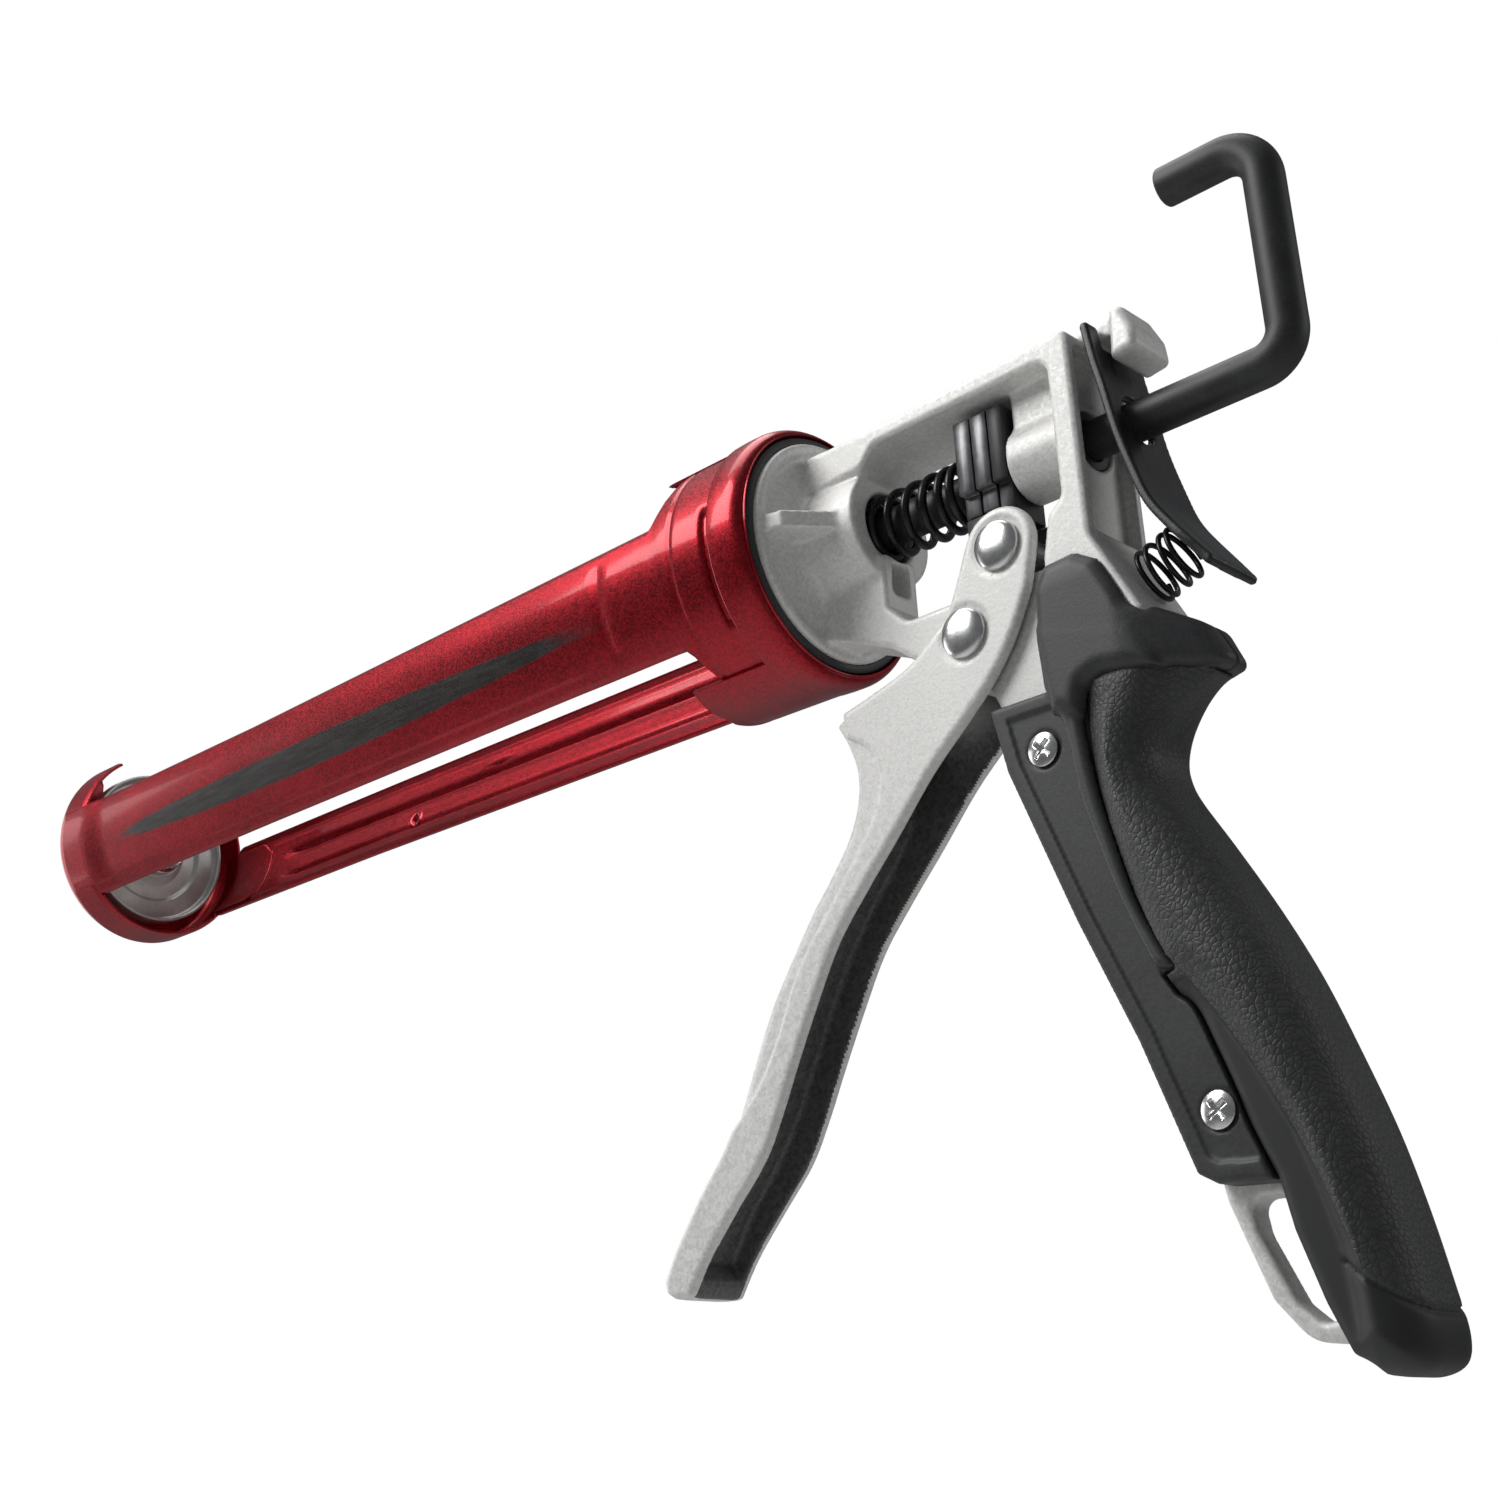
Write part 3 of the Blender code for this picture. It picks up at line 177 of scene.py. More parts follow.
class NodeBench:
    """Builds the nodes of one material."""

    def __init__(self, name: str) -> None:
        """Start an empty material with a Principled shader."""
        self.material = bpy.data.materials.new(name)
        self.material.use_nodes = True
        self.tree = self.material.node_tree
        self.shader = self.tree.nodes["Principled BSDF"]

    def node(self, kind: str, settings: dict, values: dict, output: int | str = 0) -> Wire:
        """Add a node.

        Args:
            kind: The node's type name.
            settings: Properties that are set before the sockets.
            values: Numbers, colours or wires by socket.
            output: The output socket that is returned.

        Returns:
            The chosen output as a wire.
        """
        made = self.tree.nodes.new(kind)
        for key, value in settings.items():
            setattr(made, key, value)
        for key, value in values.items():
            self.feed(made.inputs[key], value)
        return Wire(self, made.outputs[output])

    def feed(self, socket: object, value: object) -> None:
        """Set or link one socket."""
        if isinstance(value, Wire):
            self.tree.links.new(value.socket, socket)
        elif isinstance(value, tuple) and len(value) == 3 and socket.type == "RGBA":
            socket.default_value = (*value, 1.0)
        else:
            socket.default_value = value

    def place(self, scale: tuple[float, float, float] = (1.0, 1.0, 1.0)) -> Wire:
        """Object coordinates, stretched by a scale."""
        where = self.node("ShaderNodeTexCoord", {}, {}, "Object")
        return self.node("ShaderNodeMapping", {}, {"Vector": where, "Scale": scale})

    def axes(self) -> tuple[Wire, Wire, Wire]:
        """The three object coordinates in metres."""
        split = self.tree.nodes.new("ShaderNodeSeparateXYZ")
        self.feed(split.inputs[0], self.node("ShaderNodeTexCoord", {}, {}, "Object"))
        return tuple(Wire(self, out) for out in split.outputs)

    def noise(self, scale: float, detail: float = 3.0, rough: float = 0.55, **options: object) -> Wire:
        """Fractal noise between 0 and 1."""
        stretch = options.get("stretch", (1.0, 1.0, 1.0))
        values = {"Vector": self.place(stretch), "Scale": scale, "Detail": detail, "Roughness": rough}
        return self.node("ShaderNodeTexNoise", {}, values)

    def cells(self, scale: float, output: str = "Distance", **options: object) -> Wire:
        """Voronoi cells."""
        settings = {"feature": options.get("feature", "F1")}
        values = {"Vector": self.place(options.get("stretch", (1.0, 1.0, 1.0))), "Scale": scale}
        return self.node("ShaderNodeTexVoronoi", settings, values, output)

    def mix(self, share: object, first: object, second: object, blend: str = "MIX") -> Wire:
        """Blend two colours."""
        settings = {"data_type": "RGBA", "blend_type": blend}
        made = self.tree.nodes.new("ShaderNodeMix")
        for key, value in settings.items():
            setattr(made, key, value)
        colours = [s for s in made.inputs if s.type == "RGBA"]
        self.feed(made.inputs[0], share)
        self.feed(colours[0], first)
        self.feed(colours[1], second)
        return Wire(self, next(s for s in made.outputs if s.type == "RGBA"))

    def bump(self, height: Wire, distance: float, strength: float = 1.0, under: Wire | None = None) -> Wire:
        """Turn a height into a normal."""
        values = {"Height": height, "Distance": distance, "Strength": strength}
        if under:
            values["Normal"] = under
        return self.node("ShaderNodeBump", {}, values)

    def finish(self, **sockets: object) -> bpy.types.Material:
        """Set the shader's sockets and return the material.

        Args:
            sockets: Values by socket name, with spaces written as underscores.

        Returns:
            The finished material.
        """
        for key, value in sockets.items():
            self.feed(self.shader.inputs[key.replace("_", " ")], value)
        return self.material


# ---------------------------------------------------------------- finishes


@dataclass(frozen=True)
class CandyPaint:
    """Candy red metallic paint under a clear coat, with a dark printed streak if asked."""

    name: str = "candy_red"
    deep: tuple[float, float, float] = (0.20, 0.001, 0.006)
    bright: tuple[float, float, float] = (0.44, 0.004, 0.015)
    flake_scale: float = 2600.0
    streak: bool = False

    def material(self) -> bpy.types.Material:
        """Build the paint.

        Returns:
            The material.
        """
        bench = NodeBench(self.name)
        flakes = bench.cells(self.flake_scale, "Color")
        spark = bench.node("ShaderNodeSeparateColor", {}, {0: flakes}, 0)
        cloud = bench.noise(38.0, 4.0)
        tone = (cloud * 0.55 + spark * 0.45).ramp(0.2, 0.85)
        colour = bench.mix(tone, self.deep, self.bright)
        orange_peel = bench.noise(420.0, 2.0)
        dust = bench.noise(60.0, 5.0, 0.7)
        rough = 0.27 + 0.12 * spark + 0.06 * dust
        metal: object = 0.82
        if self.streak:
            mask = self._streak_mask(bench)
            grain = bench.noise(900.0, 3.0, 0.6, stretch=(0.12, 1.0, 1.0))
            ink = bench.mix(grain.ramp(0.3, 0.8), (0.004, 0.008, 0.007), (0.03, 0.042, 0.038))
            colour = bench.mix(mask, colour, ink)
            metal = 0.82 - 0.6 * mask
        normal = bench.bump(orange_peel + spark * 0.25, 0.00004, 0.35)
        return bench.finish(
            Base_Color=colour, Metallic=metal, Roughness=rough, Coat_Weight=0.3,
            Coat_Roughness=0.09, Coat_IOR=1.5, Normal=normal,
        )

    def _streak_mask(self, bench: NodeBench) -> Wire:
        """A long dark lens that fades to brushed points at both ends."""
        x, y, z = bench.axes()
        start, end, middle = 0.014, 0.246, 196.0
        along = (x - start) / (end - start)
        turn = bench.node("ShaderNodeMath", {"operation": "ARCTAN2"}, {0: z, 1: y})
        degrees = turn * (180 / math.pi) + 360 * (turn * -1e6).least(1.0).most(0.0)
        off = abs(degrees - (middle + 2.2 * (along - 0.5)))
        lens = (along * (1 - along) * 4 * (1.35 - along * 0.7)).most(0.0) ** 0.8
        width = lens * 8.2
        fray = bench.noise(260.0, 4.0, 0.7, stretch=(0.06, 1.0, 1.0))
        edge = width - off + (fray - 0.5) * 2.6
        body = edge.ramp(-0.4, 1.3)
        ends = (along.ramp(0.0, 0.16) * (1 - along.ramp(0.72, 1.0)) + fray * 0.9 - 0.45).ramp(0.15, 0.75)
        return body * ends * 0.96


@dataclass(frozen=True)
class CastFinish:
    """Sparkling silver paint on a fine cast skin."""

    name: str = "cast_silver"
    light: tuple[float, float, float] = (0.86, 0.855, 0.83)
    dark: tuple[float, float, float] = (0.65, 0.645, 0.625)

    def material(self) -> bpy.types.Material:
        """Build the casting's finish.

        Returns:
            The material.
        """
        bench = NodeBench(self.name)
        grain = bench.noise(2100.0, 2.0, 0.7)
        flakes = bench.node("ShaderNodeSeparateColor", {}, {0: bench.cells(1500.0, "Color")}, 0)
        cloud = bench.noise(45.0, 4.0, 0.6)
        tone = (grain * 0.5 + flakes * 0.4 + cloud * 0.1).ramp(0.1, 0.9)
        colour = bench.mix(tone, self.dark, self.light)
        sand = bench.noise(1300.0, 4.0, 0.65)
        normal = bench.bump(sand, 0.00012, 0.45)
        return bench.finish(
            Base_Color=colour, Metallic=0.22, Roughness=0.42 + 0.2 * flakes, Normal=normal,
        )


@dataclass(frozen=True)
class BlackSteel:
    """Blackened or black-coated steel with a fine skin and rubbed spots."""

    name: str = "black_steel"
    base: tuple[float, float, float] = (0.016, 0.017, 0.018)
    rubbed: tuple[float, float, float] = (0.05, 0.05, 0.052)
    rough: float = 0.42
    metal: float = 0.35

    def material(self) -> bpy.types.Material:
        """Build the black finish.

        Returns:
            The material.
        """
        bench = NodeBench(self.name)
        cloud = bench.noise(160.0, 5.0, 0.65)
        fine = bench.noise(2400.0, 3.0, 0.6)
        colour = bench.mix((cloud * 0.6 + fine * 0.4).ramp(0.35, 0.75), self.base, self.rubbed)
        normal = bench.bump(fine + cloud * 0.4, 0.00008, 0.4)
        rough = self.rough + 0.16 * (cloud - 0.5) + 0.1 * (fine - 0.5)
        return bench.finish(Base_Color=colour, Metallic=self.metal, Roughness=rough, Normal=normal)


@dataclass(frozen=True)
class BrightSteel:
    """Plated steel with faint turned rings or a drawn grain."""

    name: str = "bright_steel"
    tint: tuple[float, float, float] = (0.80, 0.80, 0.79)
    shade: tuple[float, float, float] = (0.60, 0.60, 0.60)
    rough: float = 0.17
    grain: tuple[float, float, float] = (1.0, 1.0, 1.0)

    def material(self) -> bpy.types.Material:
        """Build the bright finish.

        Returns:
            The material.
        """
        bench = NodeBench(self.name)
        cloud = bench.noise(300.0, 4.0, 0.6)
        fine = bench.noise(1800.0, 3.0, 0.6, stretch=self.grain)
        colour = bench.mix((cloud * 0.5 + fine * 0.5).ramp(0.3, 0.75), self.shade, self.tint)
        normal = bench.bump(fine, 0.00003, 0.3)
        rough = self.rough + 0.12 * cloud + 0.1 * (fine - 0.5)
        return bench.finish(Base_Color=colour, Metallic=1.0, Roughness=rough, Normal=normal)


@dataclass(frozen=True)
class RingedZinc:
    """Zinc-plated pressing with rings turned round the rod's axis."""

    name: str = "ringed_zinc"

    def material(self) -> bpy.types.Material:
        """Build the ringed plate.

        Returns:
            The material.
        """
        bench = NodeBench(self.name)
        _, y, z = bench.axes()
        radius = (y * y + z * z) ** 0.5
        waves = bench.node("ShaderNodeMath", {"operation": "SINE"}, {0: radius * 21000.0})
        cloud = bench.noise(140.0, 4.0, 0.6)
        colour = bench.mix((waves * 0.12 + cloud).ramp(0.3, 0.8), (0.5, 0.5, 0.48), (0.8, 0.79, 0.77))
        normal = bench.bump(waves, 0.00002, 0.35)
        return bench.finish(Base_Color=colour, Metallic=0.5, Roughness=0.3 + 0.15 * cloud, Normal=normal)


@dataclass(frozen=True)
class MouldedNylon:
    """Hard black nylon with a spark-eroded skin."""

    name: str = "moulded_nylon"
    base: tuple[float, float, float] = (0.026, 0.0265, 0.028)
    light: tuple[float, float, float] = (0.046, 0.047, 0.049)

    def material(self) -> bpy.types.Material:
        """Build the hard plastic.

        Returns:
            The material.
        """
        bench = NodeBench(self.name)
        fine = bench.noise(1500.0, 4.0, 0.65)
        cloud = bench.noise(60.0, 4.0, 0.6)
        colour = bench.mix((fine * 0.6 + cloud * 0.4).ramp(0.35, 0.7), self.base, self.light)
        normal = bench.bump(fine, 0.00009, 0.4)
        rough = 0.42 + 0.14 * cloud + 0.08 * (fine - 0.5)
        return bench.finish(Base_Color=colour, Roughness=rough, Normal=normal)


@dataclass(frozen=True)
class GrainedRubber:
    """Soft black elastomer with a leather-like grain that fades out on the heel cap."""

    name: str = "grained_rubber"
    base: tuple[float, float, float] = (0.018, 0.0185, 0.0195)
    light: tuple[float, float, float] = (0.06, 0.061, 0.063)
    cap: float = 0.1016

    def material(self) -> bpy.types.Material:
        """Build the soft pad's skin.

        Returns:
            The material.
        """
        bench = NodeBench(self.name)
        cracks = bench.cells(820.0, "Distance", feature="DISTANCE_TO_EDGE")
        pebbles = bench.cells(820.0, "Distance", feature="SMOOTH_F1")
        wander = bench.noise(520.0, 4.0, 0.6)
        x, _, z = bench.axes()
        strip = x + (z + 0.141) * 0.47 - 0.3658 + (z + 0.141) * (z + 0.141) * 3.5
        beside = strip.ramp(-0.0002, 0.0003).most(z.ramp(-0.1135, -0.1125))
        above = (x * 0.62 + z * 0.785 - self.cap).ramp(-0.0002, 0.0003)
        body = beside * above
        grain = (cracks.ramp(0.0, 0.2) * 0.3 + (1 - pebbles) * 0.35 + wander * 0.5) * body
        tone = (grain * 0.5 + bench.noise(60.0, 4.0) * 0.5).ramp(0.2, 1.0)
        colour = bench.mix(tone, self.base, self.light)
        normal = bench.bump(grain, 0.00026, 0.75)
        rough = 0.5 + 0.12 * wander - 0.05 * body
        return bench.finish(Base_Color=colour, Roughness=rough, Normal=normal)


# ---------------------------------------------------------------- outlines


def rounded(corners: Sequence[Corner]) -> list[Point]:
    """Replace each corner of an outline by an arc.

    Args:
        corners: Corners as (x, z, radius).

    Returns:
        The outline's points.
    """
    outline: list[Point] = []
    count = len(corners)
    for index, (x, z, radius) in enumerate(corners):
        point = Vector((x, z))
        before = Vector(corners[index - 1][:2]) - point
        after = Vector(corners[(index + 1) % count][:2]) - point
        if radius <= 0:
            outline.append((x, z))
            continue
        half = before.angle(after) / 2
        reach = min(radius / math.tan(half), 0.49 * before.length, 0.49 * after.length)
        radius = reach * math.tan(half)
        middle = point + (before.normalized() + after.normalized()).normalized() * (radius / math.sin(half))
        start = point + before.normalized() * reach - middle
        end = point + after.normalized() * reach - middle
        sweep = start.angle_signed(end)
        steps = max(3, math.ceil(abs(sweep) / math.radians(12)))
        for step in range(steps + 1):
            outline.append(tuple(middle + Matrix.Rotation(-sweep * step / steps, 2) @ start))
    return outline


def curve_through(points: Sequence[Point], per_span: int = 6) -> list[Point]:
    """Points on a smooth curve through the given ones.

    Args:
        points: Points that the curve passes.
        per_span: Points made for each span.

    Returns:
        The curve's points, both ends included.
    """
    ends = [points[0], *points, points[-1]]
    made: list[Point] = []
    for index in range(1, len(ends) - 2):
        a, b, c, d = (np.array(p, float) for p in ends[index - 1 : index + 3])
        for step in range(per_span):
            t = step / per_span
            bend = 2 * b + (c - a) * t + (2 * a - 5 * b + 4 * c - d) * t**2 + (3 * b - a - 3 * c + d) * t**3
            made.append(tuple(bend / 2))
    made.append(tuple(float(v) for v in points[-1]))
    return made


def ease(value: Array | float, start: float, end: float) -> Array:
    """Ease from 0 at start to 1 at end."""
    share = np.clip((np.asarray(value, float) - start) / (end - start), 0.0, 1.0)
    return share * share * (3 - 2 * share)


# ---------------------------------------------------------------- solid fields


@dataclass
class Mould:
    """A block of space in which a cast or moulded piece is shaped as a distance field."""

    low: tuple[float, float, float]
    high: tuple[float, float, float]
    step: float = 0.5

    def __post_init__(self) -> None:
        """Lay out the block's points."""
        axes = [np.arange(a, b + self.step, self.step, dtype=np.float32) for a, b in zip(self.low, self.high)]
        self.x = axes[0][:, None, None]
        self.y = axes[1][None, :, None]
        self.z = axes[2][None, None, :]
        self.shape = tuple(len(axis) for axis in axes)

    def flat(self, outline: Sequence[Point]) -> Array:
        """Signed distance to an outline in XZ, for every x and z.

        Args:
            outline: The outline's points.

        Returns:
            An (nx, 1, nz) array, negative inside.
        """
        return polygon_distance(outline, self.x, self.z)

    def plate(self, flat: Array, half: Array | float, soft: float = 0.6, middle: float = 0.0) -> Array:
        """Thicken an outline's distance along Y, with rounded edges."""
        wide = np.abs(self.y - middle) - half + soft
        near = flat + soft
        outside = np.sqrt(np.maximum(near, 0) ** 2 + np.maximum(wide, 0) ** 2)
        return np.minimum(np.maximum(near, wide), 0) + outside - soft

    def shape_of(self, corners: Sequence[Corner], half: Array | float, soft: float = 0.6) -> Array:
        """A plate from rounded corners."""
        return self.plate(self.flat(rounded(corners)), half, soft)

    def turned(self, profile: Sequence[Point]) -> Array:
        """A solid turned round the X axis from a closed (x, radius) profile."""
        reach = float(np.hypot(np.abs(self.y).max(), np.abs(self.z).max())) + 1
        fine = self.step / 2
        radii = np.arange(0, reach + fine, fine, dtype=np.float32)
        table = polygon_distance(profile, self.x[:, 0, :], radii[None, :])
        spot = np.sqrt(self.y**2 + self.z**2)[0] / fine
        left = np.clip(spot.astype(int), 0, len(radii) - 2)
        share = (spot - left).astype(np.float32)
        return table[:, left] * (1 - share) + table[:, left + 1] * share

    def bar(self, radius: float, start: float, end: float, at: Point = (0.0, 0.0)) -> Array:
        """A round bar along X."""
        ring = np.sqrt((self.y - at[0]) ** 2 + (self.z - at[1]) ** 2) - radius
        return np.maximum(ring, np.abs(self.x - (start + end) / 2) - (end - start) / 2)

    def pin(self, at: Point, radius: float, half: float = 50.0) -> Array:
        """A round bar along Y."""
        ring = np.sqrt((self.x - at[0]) ** 2 + (self.z - at[1]) ** 2) - radius
        return np.maximum(ring, np.abs(self.y) - half)

    def box(self, x: Point, y: Point, z: Point, soft: float = 0.0) -> Array:
        """A box with rounded edges."""
        gaps = [
            np.abs(axis - (a + b) / 2) - (b - a) / 2 + soft
            for axis, (a, b) in ((self.x, x), (self.y, y), (self.z, z))
        ]
        outside = np.sqrt(sum(np.maximum(gap, 0) ** 2 for gap in gaps))
        return np.minimum(np.maximum(np.maximum(gaps[0], gaps[1]), gaps[2]), 0) + outside - soft

    def mesh(self, values: Array) -> tuple[Array, Array]:
        """Draw the skin where the field is zero.

        Args:
            values: The field, negative inside the solid.

        Returns:
            Vertices in gun millimetres and four-sided faces, facing out.
        """
        field_ = np.broadcast_to(values, self.shape).astype(np.float32).copy()
        for side in (0, -1):
            field_[side, :, :] = np.maximum(field_[side, :, :], 0.01)
            field_[:, side, :] = np.maximum(field_[:, side, :], 0.01)
            field_[:, :, side] = np.maximum(field_[:, :, side], 0.01)
        field_[field_ == 0] = 1e-6
        inside = field_ < 0
        span = tuple(n - 1 for n in self.shape)
        corners = [(i, j, k) for i in (0, 1) for j in (0, 1) for k in (0, 1)]
        count = sum(
            inside[i : i + span[0], j : j + span[1], k : k + span[2]].astype(np.int8) for i, j, k in corners
        )
        cells = np.argwhere((count > 0) & (count < 8))
        index = np.full(span, -1, np.int64)
        index[tuple(cells.T)] = np.arange(len(cells))
        total = np.zeros((len(cells), 3))
        crossings = np.zeros(len(cells))
        for axis in range(3):
            for corner in corners:
                if corner[axis]:
                    continue
                start = cells + np.array(corner)
                end = start.copy()
                end[:, axis] += 1
                first = field_[tuple(start.T)]
                second = field_[tuple(end.T)]
                hit = (first < 0) != (second < 0)
                spot = start[hit].astype(float)
                spot[:, axis] += first[hit] / (first[hit] - second[hit])
                total[hit] += spot
                crossings[hit] += 1
        verts = total / crossings[:, None] * self.step + np.array(self.low)
        faces = []
        for axis in range(3):
            one, two = (axis + 1) % 3, (axis + 2) % 3
            cut = [slice(None)] * 3
            ahead = [slice(None)] * 3
            cut[axis], ahead[axis] = slice(0, -1), slice(1, None)
            here, there = inside[tuple(cut)], inside[tuple(ahead)]
            spots = np.argwhere(here != there)
            keep = (spots[:, one] > 0) & (spots[:, two] > 0)
            keep &= (spots[:, one] < self.shape[one] - 1) & (spots[:, two] < self.shape[two] - 1)
            spots = spots[keep]
            ring = []
            for back_one, back_two in ((1, 1), (0, 1), (0, 0), (1, 0)):
                cell = spots.copy()
                cell[:, one] -= back_one
                cell[:, two] -= back_two
                ring.append(index[tuple(cell.T)])
            quads = np.stack(ring, 1)
            flip = ~here[tuple(spots.T)]
            quads[flip] = quads[flip][:, ::-1]
            faces.append(quads)
        return verts, np.concatenate(faces)


def polygon_distance(outline: Sequence[Point], px: Array, pz: Array) -> Array:
    """Signed distance to a closed polygon, negative inside."""
    best: Array | None = None
    inside: Array | None = None
    points = [(float(a), float(b)) for a, b in outline]
    for (ax, az), (bx, bz) in zip(points, points[1:] + points[:1]):
        ex, ez = bx - ax, bz - az
        length = ex * ex + ez * ez
        if length < 1e-9:
            continue
        wx, wz = px - ax, pz - az
        share = np.clip((wx * ex + wz * ez) / length, 0, 1)
        gap = (wx - ex * share) ** 2 + (wz - ez * share) ** 2
        best = gap if best is None else np.minimum(best, gap)
        if ez:
            crossed = ((az <= pz) != (bz <= pz)) & (px < ex * (pz - az) / ez + ax)
            inside = crossed if inside is None else inside ^ crossed
    return np.where(inside, -1.0, 1.0).astype(np.float32) * np.sqrt(best)


def weld(first: Array, second: Array, soft: float = 1.5) -> Array:
    """Join two fields with a fillet between them."""
    blend = np.maximum(soft - np.abs(first - second), 0) / soft
    return np.minimum(first, second) - blend * blend * soft / 4


def carve(first: Array, second: Array, soft: float = 0.5) -> Array:
    """Take the second field away from the first, with a soft rim."""
    return -weld(-first, second, soft)


# ---------------------------------------------------------------- pieces


def make_piece(
    name: str, verts: Array, faces: Sequence | Array, finish: bpy.types.Material
) -> bpy.types.Object:
    """Make an object from gun millimetres.

    Args:
        name: The piece's name.
        verts: Points in gun millimetres.
        faces: Faces as point numbers.
        finish: The material.

    Returns:
        The object, standing at the origin.
    """
    data = bpy.data.meshes.new(name)
    placed = DATUM.place(verts)
    if isinstance(faces, np.ndarray):
        data.vertices.add(len(placed))
        data.vertices.foreach_set("co", placed.astype(np.float32).ravel())
        data.loops.add(faces.size)
        data.loops.foreach_set("vertex_index", faces.astype(np.int32).ravel())
        data.polygons.add(len(faces))
        starts = np.arange(0, faces.size, faces.shape[1], dtype=np.int32)
        data.polygons.foreach_set("loop_start", starts)
        data.update(calc_edges=True)
    else:
        data.from_pydata([tuple(p) for p in placed], [], faces)
    data.validate()
    data.materials.append(finish)
    data.shade_smooth()
    piece = bpy.data.objects.new(name, data)
    bpy.context.scene.collection.objects.link(piece)
    return piece


def settle(piece: bpy.types.Object) -> bpy.types.Object:
    """Bake a piece's modifiers into its mesh and remove them."""
    graph = bpy.context.evaluated_depsgraph_get()
    baked = bpy.data.meshes.new_from_object(piece.evaluated_get(graph), depsgraph=graph)
    piece.modifiers.clear()
    old = piece.data
    piece.data = baked
    bpy.data.meshes.remove(old)
    baked.name = piece.name
    return piece


def ease_edges(
    piece: bpy.types.Object, width: float, segments: int = 3, angle: float = 35.0
) -> bpy.types.Object:
    """Round a piece's sharp edges, in millimetres, and bake it."""
    modifier = piece.modifiers.new("edges", "BEVEL")
    modifier.width = width * DATUM.mm
    modifier.segments = segments
    modifier.limit_method = "ANGLE"
    modifier.angle_limit = math.radians(angle)
    settle(piece)
    piece.data.shade_smooth()
    piece.data.set_sharp_from_angle(angle=math.radians(50))
    return piece


def fit(piece: bpy.types.Object, body: Body, slot: str, *nodes: str) -> bpy.types.Object:
    """Mount a finished piece on a body and report it.

    Args:
        piece: The finished piece.
        body: The body it moves with.
        slot: The record's material slot; not used.
        nodes: The CAD nodes that it stands for.

    Returns:
        The piece.
    """
    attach(piece, body.value)
    if nodes:
        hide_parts(*nodes)
    LOG.info("%s rides on %s, %d faces", piece.name, body.value, len(piece.data.polygons))
    return piece


def dress(node: str, finish: bpy.types.Material) -> None:
    """Give a CAD node that stays in view a finish."""
    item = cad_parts[node]
    item.data.materials.clear()
    item.data.materials.append(finish)
    LOG.info("%s keeps its CAD shape", node)


def loft(rows: Array, closed: bool = False, caps: bool = False) -> tuple[Array, list[tuple[int, ...]]]:
    """Join rows of points into a skin.

    Args:
        rows: An (n, m, 3) array.
        closed: Whether each row is a loop.
        caps: Whether the first and last rows are filled.

    Returns:
        Vertices and faces.
    """
    count, width = rows.shape[:2]
    faces: list[tuple[int, ...]] = []
    for row in range(count - 1):
        for column in range(width if closed else width - 1):
            ahead = (column + 1) % width
            base, above = row * width, (row + 1) * width
            faces.append((base + column, base + ahead, above + ahead, above + column))
    if caps:
        faces.append(tuple(range(width))[::-1])
        faces.append(tuple(range((count - 1) * width, count * width)))
    return rows.reshape(-1, 3), faces


def lathe(profile: Sequence[Point], steps: int = 96, centre: Point = (0.0, 0.0)) -> tuple[Array, list]:
    """Turn a closed (x, radius) profile round a line along X."""
    angles = np.linspace(0, TURN, steps, endpoint=False)
    shape = np.array(profile, float)
    rows = np.empty((steps, len(shape), 3))
    rows[..., 0] = shape[None, :, 0]
    rows[..., 1] = centre[0] + shape[None, :, 1] * np.cos(angles)[:, None]
    rows[..., 2] = centre[1] + shape[None, :, 1] * np.sin(angles)[:, None]
    rows = np.concatenate([rows, rows[:1]])
    verts, faces = loft(rows, closed=True)
    return verts, faces


def tidy(piece: bpy.types.Object, gap: float = 0.001) -> bpy.types.Object:
    """Merge doubled points and turn every face outwards."""
    import bmesh

    shape = bmesh.new()
    shape.from_mesh(piece.data)
    bmesh.ops.remove_doubles(shape, verts=shape.verts, dist=gap * DATUM.mm)
    bmesh.ops.recalc_face_normals(shape, faces=shape.faces)
    shape.to_mesh(piece.data)
    shape.free()
    piece.data.shade_smooth()
    return piece


def sheet(rows: Array, thick: float) -> tuple[Array, list]:
    """Give a skin of points a wall on its inner side, towards the barrel's axis.

    Args:
        rows: An (n, m, 3) array of points on the outer face.
        thick: The wall in millimetres.

    Returns:
        Vertices and faces of the closed sheet.
    """
    along = np.gradient(rows, axis=0)
    across = np.gradient(rows, axis=1)
    normal = np.cross(along, across)
    normal /= np.maximum(np.linalg.norm(normal, axis=2, keepdims=True), 1e-9)
    radial = rows * np.array([0.0, 1.0, 1.0])
    facing = np.sign((normal * radial).sum(2).mean()) or 1.0
    inner = rows - normal * facing * thick
    loop = np.concatenate([rows, inner[:, ::-1]], 1)
    return loft(loop, closed=True, caps=False)[0], sheet_faces(rows.shape[0], rows.shape[1])


def sheet_faces(count: int, width: int) -> list[tuple[int, ...]]:
    """Faces of a closed sheet whose rows run out on one face and back on the other."""
    ring = 2 * width
    faces = []
    for row in range(count - 1):
        for column in range(ring):
            ahead = (column + 1) % ring
            base, above = row * ring, (row + 1) * ring
            faces.append((base + column, base + ahead, above + ahead, above + column))
    for row in (0, count - 1):
        base = row * ring
        for column in range(width - 1):
            far = ring - 1 - column
            faces.append((base + column, base + column + 1, base + far - 1, base + far))
    return faces


# ---------------------------------------------------------------- geometry nodes


